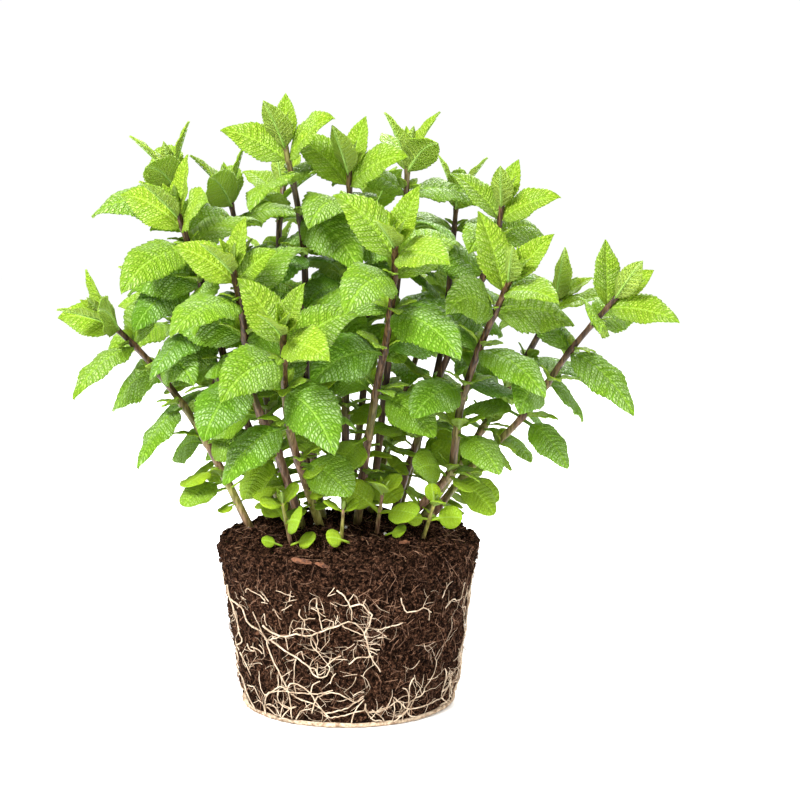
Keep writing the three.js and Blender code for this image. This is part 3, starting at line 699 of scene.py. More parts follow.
# how many crumbs, white grains and fibres lie on it, and the share of them on its top
CRUMBS, CRUMBS_ON_TOP = 3900, 0.62
GRAINS, GRAINS_ON_TOP = 16, 0.85
FIBRES, FIBRES_ON_TOP = 1300, 0.3
FINE_CRUMBS_TO, GRAINS_FROM = 35, 55  # heights where crumbs start to grow, and grains to lie
noise.seed_set(7)  # without a seed noise_vector gives other values in each run


def lathe(bm, profile, turns):
    """Spins a profile of (radius, height) about the upright axis into a closed skin."""
    verts = [bm.verts.new((radius * MM, 0, height * MM)) for radius, height in profile]
    geom = verts + [bm.edges.new(pair) for pair in zip(verts, verts[1:])]
    spin = {"axis": (0, 0, 1), "cent": (0, 0, 0), "angle": 2 * math.pi, "steps": turns}
    bmesh.ops.spin(bm, geom=geom, use_merge=True, **spin)
    bmesh.ops.remove_doubles(bm, verts=bm.verts, dist=1e-6)
    bmesh.ops.recalc_face_normals(bm, faces=bm.faces)


def peat_skin(turn, z):
    """The wall's radius at a place, with its broad lumps."""
    return wall_radius(z) + wall_lumps(turn, z)


def peat_relief(x, y, z, top):
    """How far the crumbly surface stands out at a place. top is 1 on the ball and 0 on its wall."""
    place = Vector((x, y, z))
    place += noise.noise_vector(place / WARP_SIZE) * WARP
    rough = sum(
        height * (0.42 - noise.voronoi(place / size, distance_metric="DISTANCE", exponent=2.5)[0][0])
        for size, height in PEAT_CLODS
    )
    rough *= 0.75 + 0.9 * max(top, (z - ROUGH_FROM) / (BALL_HEIGHT - ROUGH_FROM), 0)
    clods = 3.4 * max(0, noise.noise(place / 6.5 + Vector((7, 3, 1))) - 0.12)
    clods *= max(top, (z - CLODS_FROM) / (BALL_HEIGHT - CLODS_FROM), 0)
    rough += 1.1 * noise.noise(place / 1.9)
    return rough + clods


def peat_piece(finish):
    bm = bmesh.new()
    floor, rim = FELT + GAP, wall_radius(BALL_HEIGHT)
    wall_rows = int((BALL_HEIGHT - floor - RIM_ROUND) / PEAT_STEP)
    profile = [(0, floor), (BALL_BASE_RADIUS * 0.6, floor)]
    profile += [(wall_radius(z), z) for z in np.linspace(floor, BALL_HEIGHT - RIM_ROUND, wall_rows)]
    profile += [(rim - 0.5, BALL_HEIGHT - 1.1), (rim - 1.4, BALL_HEIGHT - 0.5)]
    top_rows = int((rim - RIM_ROUND) / PEAT_STEP)
    profile += [(radius, BALL_HEIGHT) for radius in np.linspace(rim - 2.3, 0, top_rows)]
    lathe(bm, profile, PEAT_TURNS)
    for vert in bm.verts:
        x, y, z = (c / MM for c in vert.co)
        out = math.hypot(x, y)
        top = 0.0
        if z > BALL_HEIGHT - 0.2:
            z = soil_top(x, y)
            top = min(1, (rim - out) / 6)
        elif out > BALL_BASE_RADIUS * 0.8:
            reach = (out + wall_lumps(math.atan2(y, x), z)) / out
            x, y = x * reach, y * reach
        place = Vector((x, y, z))
        outward = Vector((x, y, 0)).normalized() if out > 1e-3 else Vector(UP)
        if z > floor + 0.1:
            place += outward.lerp(Vector(UP), top).normalized() * peat_relief(x, y, z, top)
        vert.co = place * MM
    piece = piece_from(bm, "peat_plug", [finish])
    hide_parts("peat")


def on_wall(turn, z, lift):
    """A place that far out from the lumpy wall."""
    radius = peat_skin(turn, z) + lift
    return (radius * math.cos(turn), radius * math.sin(turn), z)


def on_peat(roll, top_share):
    """A random place on the peat, its outward direction, and one along it."""
    if roll.between(0, 1) < top_share:
        out = BALL_TOP_RADIUS * 0.97 * math.sqrt(roll.between(0.02, 1))
        turn = math.pi * roll()
        x, y = out * math.cos(turn), out * math.sin(turn)
        normal, place = Vector(UP), Vector((x, y, soil_top(x, y)))
    else:
        turn, z = math.pi * roll(), roll.between(6, BALL_HEIGHT - RIM_ROUND)
        radius = peat_skin(turn, z)
        normal = Vector((math.cos(turn), math.sin(turn), 0))
        place = Vector((radius * normal.x, radius * normal.y, z))
    across = normal.orthogonal().normalized()
    across.rotate(Matrix.Rotation(math.pi * roll(), 3, normal))
    return place, normal, across


def add_grain(bm, roll, where, detail, ragged):
    """A ball with each corner moved by up to ragged millimetres."""
    made = bmesh.ops.create_icosphere(bm, subdivisions=detail, radius=1, matrix=where)["verts"]
    for vert in made:
        vert.co += Vector((roll(), roll(), roll())) * (ragged * MM)


def crumbs_piece(finish):
    """Loose crumbs of peat on the ball."""
    bm = bmesh.new()
    roll = Dice(501)
    for _ in range(CRUMBS):
        place, normal, across = on_peat(roll, CRUMBS_ON_TOP)
        size = roll.between(0.35, 1.2) ** 2
        if normal.z < 0.5:  # smaller down the wall
            size *= mix(0.3, 1, max(0, (place.z - FINE_CRUMBS_TO) / (BALL_HEIGHT - FINE_CRUMBS_TO)))
        stretch = Matrix.Diagonal((size * roll.between(0.9, 1.7), size, size * 0.8, 1))
        where = placed(place + normal * size * 0.35, across, normal) @ stretch
        add_grain(bm, roll, where, 1, 0.38 * size)
    piece_from(bm, "peat_crumbs", [finish], smooth=False)


def perlite_piece(finish):
    """A few white grains in the upper peat."""
    bm = bmesh.new()
    roll = Dice(88)
    for _ in range(GRAINS):
        place, normal, across = on_peat(roll, GRAINS_ON_TOP)
        size = roll.between(0.35, 0.8)
        if place.z > GRAINS_FROM:
            where = placed(place + normal * (0.7 + size * 0.5), across, normal)
            add_grain(bm, roll, where @ Matrix.Scale(size, 4), 2, 0.24 * size)
    piece_from(bm, "perlite_grains", [finish], smooth=False)


# turn round the ball, height on its wall or none, place from the middle, length, width, tilt
BARK_CHIPS = [
    (252, 80, 0, 10, 2.2, -6),
    (261, 79, 0, 6.5, 1.7, -14),
    (306, None, 46, 5, 1.6, -30),
    (26, None, 48, 8, 2.6, 110),
    (124, None, 53, 7, 2.4, 150),
    (62, 72, 0, 8, 2.6, 12),
    (170, 75, 0, 7, 2.4, -16),
]
BARK_THICKNESS = 1.1


def bark_piece(finish):
    """Slivers of bark that lie on the peat."""
    bm = bmesh.new()
    roll = Dice(19)
    for turn, z, out, length, width, tilt in BARK_CHIPS:
        turn = math.radians(turn)
        outward = Vector((math.cos(turn), math.sin(turn), 0))
        if z:
            place, normal = Vector(on_wall(turn, z, 0.9)), (outward + Vector((0, 0, 0.5))).normalized()
        else:
            place, normal = outward * out, Vector(UP)
            place.z = soil_top(place.x, place.y) + 1.0
        across = Vector((-outward.y, outward.x, 0))
        across.rotate(Matrix.Rotation(math.radians(tilt), 3, normal))
        chip = ragged_chip(10 * roll())
        where = placed(place, across, normal) @ Matrix.Diagonal((length, width, BARK_THICKNESS, 1))
        bmesh.ops.transform(chip, matrix=where, verts=chip.verts)
        mesh = mesh_of(chip, "chip")
        bm.from_mesh(mesh)
        bpy.data.meshes.remove(mesh)
    piece_from(bm, "bark_chips", [finish], smooth=False)


def ragged_chip(seed):
    """A cube worn to a sliver: drawn in at its ends, frayed, and bent."""
    chip = bmesh.new()
    bmesh.ops.create_cube(chip, size=1)
    bmesh.ops.subdivide_edges(chip, edges=chip.edges, cuts=6, use_grid_fill=True)
    for vert in chip.verts:
        ragged = noise.noise(Vector((5 * vert.co.x, seed, math.copysign(3, vert.co.y))))
        vert.co.y *= (1 - 0.6 * abs(2 * vert.co.x) ** 3) * (1 + 0.9 * ragged)
        vert.co.x += 0.06 * noise.noise(Vector((seed, 9 * vert.co.y, 0)))
        vert.co.z += 0.5 * noise.noise(Vector((4 * vert.co.x, 4 * vert.co.y, seed)))
        vert.co.z -= 1.2 * vert.co.x * vert.co.x
    return chip


# ---- roots and fibres: curves with a thickness at each point ----
def strands_piece(name, routes, finish, sides):
    """Thin round strands. Each route is a list of places in millimetres with the radius there."""
    curve = bpy.data.curves.new(name, "CURVE")
    curve.dimensions = "3D"
    curve.bevel_depth = MM
    curve.bevel_resolution = sides
    curve.use_fill_caps = True
    for route in routes:
        spline = curve.splines.new("POLY")
        spline.points.add(len(route) - 1)
        for point, (place, radius) in zip(spline.points, route):
            point.co = (*(Vector(place) * MM), 1)
            point.radius = radius
        spline.use_smooth = True
    dress(name, curve, [finish])


ROOT_RADIUS = 0.39
ROOT_STEP = 1.6
NEAR_FELT = 3
ROOTS_FROM, ROOTS_TO = 1.0, 66  # heights between which the finer ones stay
FORK_CHANCE, TWIG_CHANCE = 0.2, 0.12  # at each step of a finer root, and of one in the net
# The net of roots seen from the front: thickness, then turns in degrees and heights in millimetres.
ROOT_NET = [
    (1.0, (205, 54), (213, 52), (217, 46), (224, 44), (228, 43), (230, 39), (230, 36), (233, 30),
        (236, 26), (239, 20), (240, 17), (241, 12), (242, 3)),
    (1.1, (230, 47), (233, 45), (240, 43), (248, 45), (254, 45), (259, 47), (264, 49), (269, 51),
        (273, 52), (276, 50), (279, 46)),
    (1.0, (230, 39), (235, 41), (240, 43)),
    (1.0, (233, 40), (240, 37), (247, 34), (251, 31), (253, 29), (255, 26), (257, 25), (260, 25),
        (262, 27), (263, 30), (262, 31), (265, 34), (268, 36)),
    (0.7, (253, 29), (256, 29), (257, 26), (261, 28)),
    (1.0, (199, 60), (202, 55), (205, 51), (205, 45), (206, 39), (210, 35), (202, 30), (203, 25),
        (197, 19), (203, 15), (206, 10), (212, 6), (215, 2)),
    (0.8, (208, 29), (211, 25), (215, 19)),
    (0.7, (224, 52), (227, 47), (228, 43)),
    (0.6, (232, 53), (232, 50), (233, 47)),
    (0.9, (258, 63), (258, 59), (259, 54), (260, 48)),
    (0.5, (255, 58), (259, 56), (262, 54)),
    (0.8, (250, 57), (250, 54), (252, 52), (252, 49)),
    (0.6, (252, 52), (254, 53), (257, 53)),
    (0.6, (246, 46), (249, 48), (254, 48), (257, 47)),
    (0.6, (244, 44), (245, 49), (247, 52)),
    (0.9, (267, 67), (270, 64), (272, 60), (273, 57), (273, 53)),
    (0.5, (266, 68), (263, 64), (266, 65)),
    (0.5, (272, 62), (274, 65), (276, 62), (276, 61)),
    (1.0, (272, 59), (275, 60), (278, 60), (280, 57), (282, 55), (281, 50), (279, 46), (280, 42),
        (281, 38), (283, 33), (287, 27)),
    (0.6, (279, 63), (278, 60)),
    (0.7, (269, 50), (273, 48), (279, 45)),
    (0.8, (296, 50), (291, 49), (287, 48), (285, 47), (289, 44)),
    (0.8, (295, 62), (296, 58), (298, 55), (303, 55), (306, 56), (311, 53)),
    (0.6, (281, 40), (277, 41)),
    (0.5, (280, 42), (276, 43)),
    (0.6, (280, 41), (284, 41), (286, 40)),
    (0.6, (281, 39), (286, 38)),
    (0.6, (281, 38), (285, 36)),
    (0.9, (272, 32), (276, 35), (280, 35), (283, 35)),
    (0.7, (247, 33), (245, 27), (244, 20), (245, 16)),
    (0.9, (226, 12), (231, 15), (237, 18), (240, 16), (248, 16), (258, 17), (264, 19)),
    (0.8, (223, 2), (225, 9), (230, 14), (240, 16)),
    (0.9, (240, 17), (242, 20), (246, 20), (252, 17), (255, 13), (261, 5)),
    (0.8, (253, 17), (254, 21), (258, 23)),
    (0.9, (253, 7), (255, 13), (258, 16), (264, 18), (269, 16), (275, 13), (279, 15)),
    (0.9, (260, 7), (268, 9), (274, 12), (279, 16)),
    (0.7, (244, 3), (248, 8), (253, 9)),
    (0.8, (242, 15), (248, 13), (255, 11), (262, 5)),
    (0.8, (273, 3), (275, 9), (279, 14)),
    (0.8, (263, 5), (268, 6), (274, 8), (279, 9), (280, 12)),
    (0.8, (280, 12), (280, 9), (284, 4), (289, 3)),
    (0.8, (283, 9), (287, 6), (290, 3)),
    (0.6, (294, 13), (295, 8), (294, 2)),
    (0.9, (294, 14), (299, 10), (303, 7), (309, 7), (316, 7)),
    (0.9, (303, 7), (298, 4), (295, 2)),
    (0.8, (299, 18), (301, 17), (303, 14), (303, 8)),
    (0.8, (305, 22), (303, 19), (303, 13)),
    (0.7, (196, 5), (206, 3), (214, 2)),
    (0.7, (209, 13), (217, 14), (219, 12), (222, 7), (223, 2)),
    (0.5, (215, 6), (220, 8), (222, 7)),
    (0.7, (225, 6), (230, 4), (234, 3)),
    (0.7, (225, 7), (229, 8), (233, 6), (235, 3)),
    (0.6, (237, 11), (236, 7), (235, 3)),
    (0.6, (222, 23), (223, 18), (224, 14), (226, 12)),
    (0.7, (215, 35), (216, 32), (220, 32)),
    (0.7, (218, 34), (223, 34), (226, 32)),
    (0.5, (216, 58), (220, 57)),
    (0.7, (221, 61), (222, 63), (226, 62), (230, 61), (233, 59)),
    (0.5, (230, 58), (234, 58)),
    (0.6, (242, 56), (245, 58), (247, 59)),
    (0.6, (237, 55), (238, 56), (239, 53), (241, 51)),
    (0.5, (239, 65), (243, 64), (247, 63), (248, 63)),
    (0.5, (264, 61), (267, 59)),
    (0.6, (255, 45), (255, 41), (257, 38), (261, 33), (262, 31)),
    (0.6, (258, 46), (258, 43), (257, 38)),
    (0.6, (250, 37), (251, 33)),
    (0.6, (242, 43), (243, 37)),
    (0.5, (255, 33), (253, 29)),
    (0.6, (257, 32), (257, 25)),
    (0.5, (265, 34), (268, 34), (271, 34)),
    (0.7, (263, 22), (264, 25), (266, 27)),
    (0.6, (274, 16), (277, 18), (279, 18)),
    (0.6, (265, 49), (265, 52), (262, 53), (260, 52)),
    (0.5, (266, 51), (267, 55)),
    (0.5, (238, 23), (244, 27)),
    (0.7, (207, 30), (202, 33), (207, 40)),
]
NET_EDGE = 316
NET_COPIES = [(1, 0), (-1, 2 * NET_EDGE), (1, -120)]  # as seen, mirrored at its edge, and turned
# finer ones: how many, whether they run round the foot, height, length and radius from and to
MORE_ROOTS = [
    (100, False, (4, 62), (4, 13), (0.14, 0.24)),
    (14, True, (1.5, 12), (20, 60), (0.28, 0.45)),
]


def smooth_path(points, step):
    """A curve through points of any number of measures, cut at about every step."""
    p = [np.array(point, float) for point in points]
    p = [2 * p[0] - p[1], *p, 2 * p[-1] - p[-2]]
    path = []
    for i in range(1, len(p) - 2):
        count = max(2, round(math.sqrt((p[i + 1] - p[i]) @ (p[i + 1] - p[i])) / step))
        path += [curve_point(p, i, k / count) for k in range(count)]
    return [*path, p[-2]]


def branch(routes, roll, turn, z, heading, length, radius, forks=True):
    """A root that wanders over the wall, thins out and gives off finer ones."""
    steps = max(4, int(length / ROOT_STEP))
    route = []
    bend = 0.0
    for i in range(steps + 1):
        thin = radius * mix(1, 0.45, i / steps)
        route.append((on_wall(turn, z, 0.55 + 0.4 * roll()), thin))
        bend = mix(bend, 0.75 * roll(), 0.4)
        heading += bend
        if z < NEAR_FELT:  # here roots turn to run round the ball
            heading = mix(heading, round(heading / math.pi) * math.pi, 0.35)
        turn += ROOT_STEP * math.cos(heading) / wall_radius(z)
        z += ROOT_STEP * math.sin(heading)
        if not ROOTS_FROM < z < ROOTS_TO:
            break
        if forks and roll.between(0, 1) < FORK_CHANCE:
            side = 1 if roll() > 0 else -1
            fork = heading + side * roll.between(0.5, 1.2)
            part = length * roll.between(0.25, 0.6)
            branch(routes, roll, turn, z, fork, part, thin * 0.8, forks=False)
    if len(route) > 2:
        routes.append(route)


def root_routes():
    roll = Dice(4021)
    routes = []
    for sense, moved in NET_COPIES:
        for thick, *points in ROOT_NET:
            path = smooth_path([(sense * turn + moved, z) for turn, z in points], ROOT_STEP)
            route = []
            for i, (turn, z) in enumerate(path):
                turn, z = math.radians(turn + 0.25 * roll()), z + 0.25 * roll()
                radius = ROOT_RADIUS * thick * mix(1, 0.7, i / len(path))
                route.append((on_wall(turn, z, 0.7 + 0.5 * radius), radius))
                if roll.between(0, 1) < TWIG_CHANCE:
                    heading = math.pi * roll()
                    branch(routes, roll, turn, z, heading, roll.between(2.5, 9), radius * 0.55)
            routes.append(route)
    for count, at_foot, heights, lengths, radii in MORE_ROOTS:
        for _ in range(count):
            if at_foot:
                heading = 0.35 * roll() + (math.pi if roll() > 0 else 0)
            else:
                heading = math.pi * roll()
            z, turn = roll.between(*heights), math.pi * roll()
            branch(routes, roll, turn, z, heading, roll.between(*lengths), roll.between(*radii))
    return routes


FIBRE_PARTS = 5


def fibre_routes():
    """Fine fibres of peat, lying every way on the ball."""
    roll = Dice(909)
    routes = []
    for _ in range(FIBRES):
        place, normal, across = on_peat(roll, FIBRES_ON_TOP)
        across = (across + normal * 0.5 * roll()).normalized()
        length, bend = roll.between(2.5, 9), 0.35 * roll()
        radius = roll.between(0.05, 0.15)
        other = normal.cross(across)
        start = place + normal * roll.between(0.5, 1.4)
        route = []
        for k in range(FIBRE_PARTS + 1):
            s = k / FIBRE_PARTS - 0.5
            arch = normal * (0.9 * (0.25 - s * s) * roll.between(0, 1.4))
            curl = other * (bend * length * s * s)
            route.append((start + across * (s * length) + curl + arch, radius))
        routes.append(route)
    return routes


def felt_piece(finish):
    """The flat felt of roots that the pot's floor pressed under the ball."""
    bm = bmesh.new()
    edge = BALL_BASE_RADIUS + 0.4
    profile = [(0, 0), (edge * 0.5, 0), (edge * 0.8, 0), (edge - 1, 0), (edge, 0.25), (edge + 0.5, 0.8)]
    profile += [(edge + 0.4, 1.5), (edge - 0.2, 2.2), (edge - 2, 2.4), (edge * 0.5, 2.3), (0, 2.3)]
    lathe(bm, profile, FELT_TURNS)
    for vert in bm.verts:
        place = vert.co / MM
        out = math.hypot(place.x, place.y)
        if out > edge - 1.5 and place.z > 0.1:
            along = math.atan2(place.y, place.x) * 40
            rough = noise.noise(Vector((along / 6, place.z * 1.5, 0)))
            place += Vector((place.x, place.y, 0)).normalized() * 0.5 * rough
            place.z += 0.25 * (1 + noise.noise(Vector((along / 3, 5, place.z))))
        vert.co = place * MM
    piece = piece_from(bm, "root_felt_base", [finish])
    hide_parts("root_felt")


# ---- finishes ----
def operator(operation, swapped=False):
    def apply(self, other):
        return self.math(operation, *((other, self) if swapped else (self, other)))

    return apply


class Wire:
    """A node's output. Python's operators on it add Math nodes."""

    def __init__(self, finish, socket):
        self.finish, self.socket = finish, socket

    def math(self, operation, *values):
        return self.finish.node("ShaderNodeMath", {"operation": operation}, values)

    __add__ = __radd__ = operator("ADD")
    __mul__ = __rmul__ = operator("MULTIPLY")
    __sub__, __rsub__ = operator("SUBTRACT"), operator("SUBTRACT", swapped=True)

    def __abs__(self):
        return self.math("ABSOLUTE", self)

    def fraction(self):
        return self.math("FRACT", self)

    def smooth(self, low, high):
        """0 below low, 1 above high, with a soft step between."""
        inputs = {"Value": self, "From Min": low, "From Max": high}
        return self.finish.node("ShaderNodeMapRange", {"interpolation_type": "SMOOTHSTEP"}, inputs)


class Finish:
    """A material being made."""

    def __init__(self, name):
        self.material = bpy.data.materials.new(name)
        self.material.use_nodes = True
        self.tree = self.material.node_tree
        self.tree.nodes.clear()

    def node(self, kind, settings=None, inputs=(), output=0):
        """Adds a node: its settings, then the values or links of its sockets. Gives an output."""
        node = self.tree.nodes.new(kind)
        for key, value in (settings or {}).items():
            setattr(node, key, value)
        pairs = inputs.items() if isinstance(inputs, dict) else enumerate(inputs)
        for key, value in pairs:
            if isinstance(value, Wire):
                self.tree.links.new(value.socket, node.inputs[key])
            else:
                node.inputs[key].default_value = value
        return None if output is None else Wire(self, node.outputs[output])

    def blend(self, factor, a, b):
        """Mixes two colours, which may be links or plain ones."""
        a, b = (value if isinstance(value, Wire) else (*value, 1) for value in (a, b))
        return self.node("ShaderNodeMix", {"data_type": "RGBA"}, {0: factor, 6: a, 7: b}, output=2)

    def noise(self, vector, scale, detail=3, rough=0.5, output="Fac"):
        inputs = {"Vector": vector, "Scale": scale, "Detail": detail, "Roughness": rough}
        return self.node("ShaderNodeTexNoise", None, inputs, output)

    def place(self):
        return self.node("ShaderNodeTexCoord", output="Object")

    def attribute(self, name):
        """The three values of a piece's own attribute."""
        return self.split(self.node("ShaderNodeAttribute", {"attribute_name": name}, output="Vector"))

    def split(self, wire, kind="ShaderNodeSeparateXYZ"):
        return [self.node(kind, None, (wire,), output) for output in range(3)]

    def bump(self, height, strength, distance):
        inputs = {"Strength": strength, "Distance": distance, "Height": height}
        return self.node("ShaderNodeBump", None, inputs)

    def done(self, inputs, surface=lambda shader: shader):
        """Ends the tree in a Principled surface, or in what surface makes of it."""
        shader = self.node("ShaderNodeBsdfPrincipled", None, inputs)
        self.node("ShaderNodeOutputMaterial", None, {"Surface": surface(shader)}, output=None)
        return self.material


# a leaf's colours: when young and when mature, and the painted shade in its grooves and the painted
# highlight on its blisters, of each
YOUNG, MATURE = (0.40, 0.53, 0.018), (0.125, 0.34, 0.010)
# painted shade: darker green laid into the grooves of the vein net, where shade falls
GROOVE_SHADE, GROOVE_SHADE_MATURE = (0.10, 0.26, 0.001), (0.022, 0.115, 0.001)
# painted highlight: pale colour on the blister tops, standing in for the lamps' sheen
BLISTER_HIGHLIGHT, BLISTER_HIGHLIGHT_MATURE = (0.66, 0.70, 0.38), (0.45, 0.64, 0.30)
MOTTLE, TONE = (0.24, 0.47, 0.006), (0.31, 0.53, 0.008)
BLADE_BACK, BACK_VEIN = (0.50, 0.65, 0.15), (0.44, 0.60, 0.20)
RIB_PALE = (0.42, 0.60, 0.16)
LIGHT_THROUGH, THROUGH_SHARE = (0.44, 0.63, 0.02, 1), 0.34
# a stalk's, dark and pale: green or reddish at the foot, dark above it, green at the tip
OLIVE = (0.13, 0.122, 0.018), (0.31, 0.295, 0.075)
ROSY = (0.095, 0.046, 0.022), (0.30, 0.175, 0.105)
PURPLE = (0.026, 0.012, 0.0045), (0.135, 0.072, 0.034)
YOUNG_STALK = (0.10, 0.075, 0.025), (0.19, 0.19, 0.05)
# the peat's, with a near-black painted shade for its pits
DAMP, DRIER = (0.009, 0.0036, 0.0018), (0.026, 0.011, 0.0062)
BROWN, RUSSET = (0.070, 0.032, 0.018), (0.18, 0.086, 0.049)
FLUFF, PIT_SHADE = (0.13, 0.068, 0.042), (0.0045, 0.002, 0.001)


def leaf_finish(name, under):
    """A mint leaf: blisters with a painted highlight between a sunken net of veins with painted shade,
    or its smoother, paler back.
    """
    f = Finish(name)
    vein, across, crisp = f.attribute("quilt")
    age, tone, beside = f.attribute("tint")
    lateral = abs((vein + 0.5).fraction() - 0.5)
    cells = f.node("ShaderNodeCombineXYZ", None, (vein * 2.25, across, 0.0))
    net = f.node(
        "ShaderNodeTexVoronoi",
        {"voronoi_dimensions": "2D", "feature": "DISTANCE_TO_EDGE"},
        {"Vector": cells, "Scale": 1.0, "Randomness": 0.8},
    )
    blister = net.smooth(0.0, 0.3)
    off_vein = lateral.smooth(0.0, 0.18)
    off_rib = beside.smooth(0.05, 0.75)
    raised = (0.15 + 0.85 * blister) * (0.1 + 0.9 * off_vein) * (0.3 + 0.7 * off_rib)

    mottle = f.noise(f.place(), 75.0, 2)
    base = f.blend(age, YOUNG, MATURE)
    base = f.blend(mottle.smooth(0.4, 0.7) * 0.4, base, MOTTLE)
    base = f.blend((tone * 0.5 + 0.5) * 0.35, base, TONE)
    if under:
        colour = f.blend((1 - off_vein) * 0.5, f.blend(0.55, base, BLADE_BACK), BACK_VEIN)
        colour = f.blend((1 - off_rib) * 0.6, colour, BACK_VEIN)
        height, gloss = 1 - raised, 0.6
    else:
        # painted shade: the grooves between the blisters are darkened toward the groove colour
        groove_shade = f.blend(age, GROOVE_SHADE, GROOVE_SHADE_MATURE)
        shade = f.blend((0.64 + 0.04 * age) * crisp * (0.35 + 0.65 * off_rib), base, groove_shade)
        # painted highlight: the raised blisters are paled in patches, where the lamps would glint
        highlight_patch = mottle.smooth(0.38, 0.62) * (0.1 + 0.6 * age)
        pale = f.blend(age, BLISTER_HIGHLIGHT, BLISTER_HIGHLIGHT_MATURE)
        light = f.blend((0.1 + highlight_patch) * crisp * off_rib, base, pale)
        # the blisters take the painted highlight and the grooves the painted shade
        colour = f.blend(raised.smooth(0.0, 0.8), shade, light)
        colour = f.blend((1 - beside.smooth(0.0, 0.42)) * 0.4, colour, RIB_PALE)
        height = raised * (0.35 + 0.65 * crisp) * (0.55 + 0.45 * age)
        gloss = 0.5 - 0.08 * raised

    def lit_through(shader):
        through = f.node("ShaderNodeBsdfTranslucent", None, {"Color": LIGHT_THROUGH})
        return f.node("ShaderNodeMixShader", None, (THROUGH_SHARE, shader, through))

    inputs = {"Base Color": colour, "Roughness": gloss, "Specular IOR Level": 0.14}
    return f.done({**inputs, "Normal": f.bump(height, 1.0, 0.001)}, lit_through)


def stalk_finish():
    """Dark purple-brown, paler and greener at the foot, streaked along its length."""
    f = Finish("mint_stalk")
    place = f.place()
    stretched = f.node("ShaderNodeMapping", None, {"Vector": place, "Scale": (1, 1, 0.1)})
    streaks = f.noise(stretched, 900.0)
    foot_streak, streak = streaks.smooth(0.35, 0.7), streaks.smooth(0.4, 0.7)
    height = f.split(place)[2] + 0.03 * (f.noise(place, 60.0, 2) - 0.5)
    reddish = f.noise(place, 30.0, 1).smooth(0.42, 0.56)
    foot = f.blend(reddish, f.blend(foot_streak, *OLIVE), f.blend(foot_streak, *ROSY))
    colour = f.blend(height.smooth(0.095, 0.172), foot, f.blend(streak, *PURPLE))
    colour = f.blend(height.smooth(0.235, 0.275), colour, f.blend(streak, *YOUNG_STALK))
    inputs = {"Base Color": colour, "Roughness": 0.38, "Specular IOR Level": 0.3}
    return f.done({**inputs, "Normal": f.bump(streaks, 0.3, 0.0003)})


def peat_finish(name, share):
    """Damp peat: fine dark crumbs with redder and paler ones among them, matted with fibre."""
    f = Finish(name)
    place = f.place()
    drift = f.noise(place, 420.0, output="Color")
    warp = (drift, (0.0035,) * 3, place)
    warped = f.node("ShaderNodeVectorMath", {"operation": "MULTIPLY_ADD"}, warp)
    crumb = {"Vector": warped, "Scale": 1400.0}
    shade = f.node("ShaderNodeTexVoronoi", {"feature": "F1"}, crumb, output="Color")
    red, green, _ = f.split(shade, "ShaderNodeSeparateColor")
    depth = f.node("ShaderNodeTexVoronoi", {"feature": "F1"}, crumb, output="Distance")
    turned = {"Vector": warped, "Scale": (1, 1, 0.45), "Rotation": (0.9, 0.7, 0.4)}
    fibre = f.noise(f.node("ShaderNodeMapping", None, turned), 1500.0, 3, 0.6)
    pits = f.noise(place, 620.0, 4, 0.66)
    colour = f.blend(f.noise(place, 60.0).smooth(0.35, 0.65), DAMP, DRIER)
    colour = f.blend(red.smooth(0.3, 0.9), colour, BROWN)
    colour = f.blend(green.smooth(1 - share, 1.02 - 0.4 * share) * 0.85, colour, RUSSET)
    colour = f.blend(fibre.smooth(0.5, 0.75) * 0.75, colour, FLUFF)
    # painted shade: where the pits noise is low, which the bump also sets low, the colour goes nearly
    # black
    colour = f.blend(pits.smooth(0.4, 0.6), PIT_SHADE, colour)
    inputs = {"Base Color": colour, "Roughness": 0.95, "Specular IOR Level": 0.02}
    bump = f.bump(0.6 * (1 - depth) + 0.6 * fibre + 1.3 * pits, 1.0, 0.0013)
    return f.done({**inputs, "Normal": bump})


def plain_finish(name, dark, pale, scale, rough, depth):
    """Two shades mixed by a fine noise, with the same noise as relief."""
    f = Finish(name)
    grain = f.noise(f.place(), scale, 4, 0.6)
    colour = f.blend(grain.smooth(0.35, 0.65), dark, pale)
    inputs = {"Base Color": colour, "Roughness": rough, "Specular IOR Level": 0.25}
    return f.done({**inputs, "Normal": f.bump(grain, 0.6, depth)})


# ---- the plant ----
upper = leaf_finish("mint_leaf_upper", under=False)
underside = leaf_finish("mint_leaf_under", under=True)
stalk = stalk_finish()
leaf_rib = plain_finish("leaf_rib", (0.22, 0.39, 0.05), (0.33, 0.50, 0.12), 300.0, 0.5, 0.0002)
peat = peat_finish("damp_peat", 0.22)
crumb = peat_finish("peat_crumb", 0.45)
root = plain_finish("root_cream", (0.36, 0.26, 0.17), (0.64, 0.51, 0.37), 260.0, 0.6, 0.0004)
felt = plain_finish("root_felt", (0.22, 0.14, 0.085), (0.60, 0.47, 0.33), 420.0, 0.8, 0.0006)
fibre = plain_finish("peat_fibre", (0.05, 0.022, 0.012), (0.27, 0.15, 0.09), 150.0, 0.85, 0.0003)
bark = plain_finish("bark_sliver", (0.055, 0.022, 0.012), (0.19, 0.077, 0.036), 500.0, 0.8, 0.0006)
perlite = plain_finish("perlite_white", (0.55, 0.53, 0.48), (0.85, 0.84, 0.8), 700.0, 0.9, 0.0004)

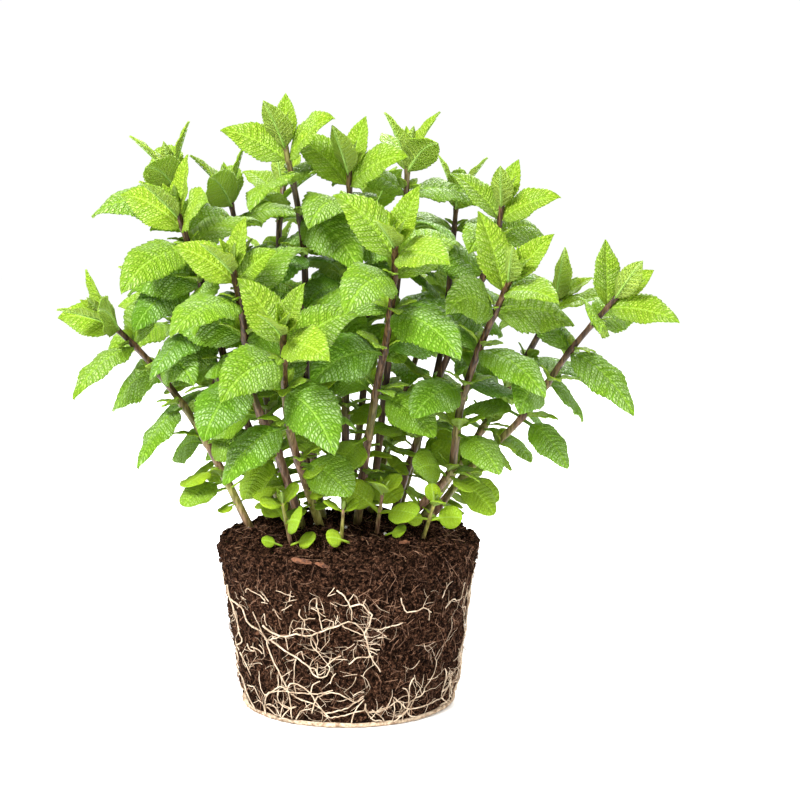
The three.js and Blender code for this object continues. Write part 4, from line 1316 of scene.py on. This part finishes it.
stems = grow()
for grown_stem in stems:
    leaves_piece(grown_stem, [upper, underside])
    stalk_piece(grown_stem, stalk)
ribs_piece(stems, leaf_rib)
peat_piece(peat)
crumbs_piece(crumb)
perlite_piece(perlite)
bark_piece(bark)
felt_piece(felt)
strands_piece("wall_roots", root_routes(), root, 1)
strands_piece("peat_fibres", fibre_routes(), fibre, 0)


# ---- floor, light and camera ----
PHOTO_SIDE = 800
FOCAL_PIXELS = 1715
SENSOR = 36
CAMERA_AT = (0.025, -0.814, 0.245)
CAMERA_PITCH = math.radians(6.97)
FLOOR_HALF = 4
LIGHTS = [  # name, place, what it points at, size, watts
    ("key", (-0.6, -0.8, 1.1), (0, 0, 0.17), 0.5, 43),
    ("fill", (1.1, -1.0, 0.5), (0, 0, 0.15), 0.8, 6),
    ("back", (0.3, 1.0, 1.0), (0, 0, 0.2), 0.6, 26),
]
SKY = 1.02


def floor_stage():
    bm = bmesh.new()
    bmesh.ops.create_grid(bm, x_segments=1, y_segments=1, size=FLOOR_HALF)
    floor = put("floor", mesh_of(bm, "floor"))
    white = {"Base Color": (0.98, 0.98, 0.98, 1), "Roughness": 0.9}
    floor.data.materials.append(Finish("pale_floor").done(white))


def studio():
    scene = bpy.context.scene
    scene.world = bpy.data.worlds.new("studio")
    scene.world.use_nodes = True
    sky = scene.world.node_tree.nodes["Background"].inputs
    sky["Color"].default_value, sky["Strength"].default_value = (1, 1, 1, 1), SKY
    for name, at, target, size, power in LIGHTS:
        light = bpy.data.lights.new(name, "AREA")
        light.shape, light.size, light.energy = "DISK", size, power
        lamp = put(name, light)
        lamp.location = at
        lamp.rotation_euler = (Vector(target) - Vector(at)).to_track_quat("-Z", "Y").to_euler()
    camera = bpy.data.cameras.new("camera")
    camera.sensor_width = SENSOR
    camera.lens = SENSOR * FOCAL_PIXELS / PHOTO_SIDE
    camera.clip_start = 0.01
    scene.camera = put("camera", camera)
    scene.camera.location = CAMERA_AT
    scene.camera.rotation_euler = (math.pi / 2 - CAMERA_PITCH, 0, 0)
    scene.view_settings.view_transform = "Standard"


floor_stage()
studio()
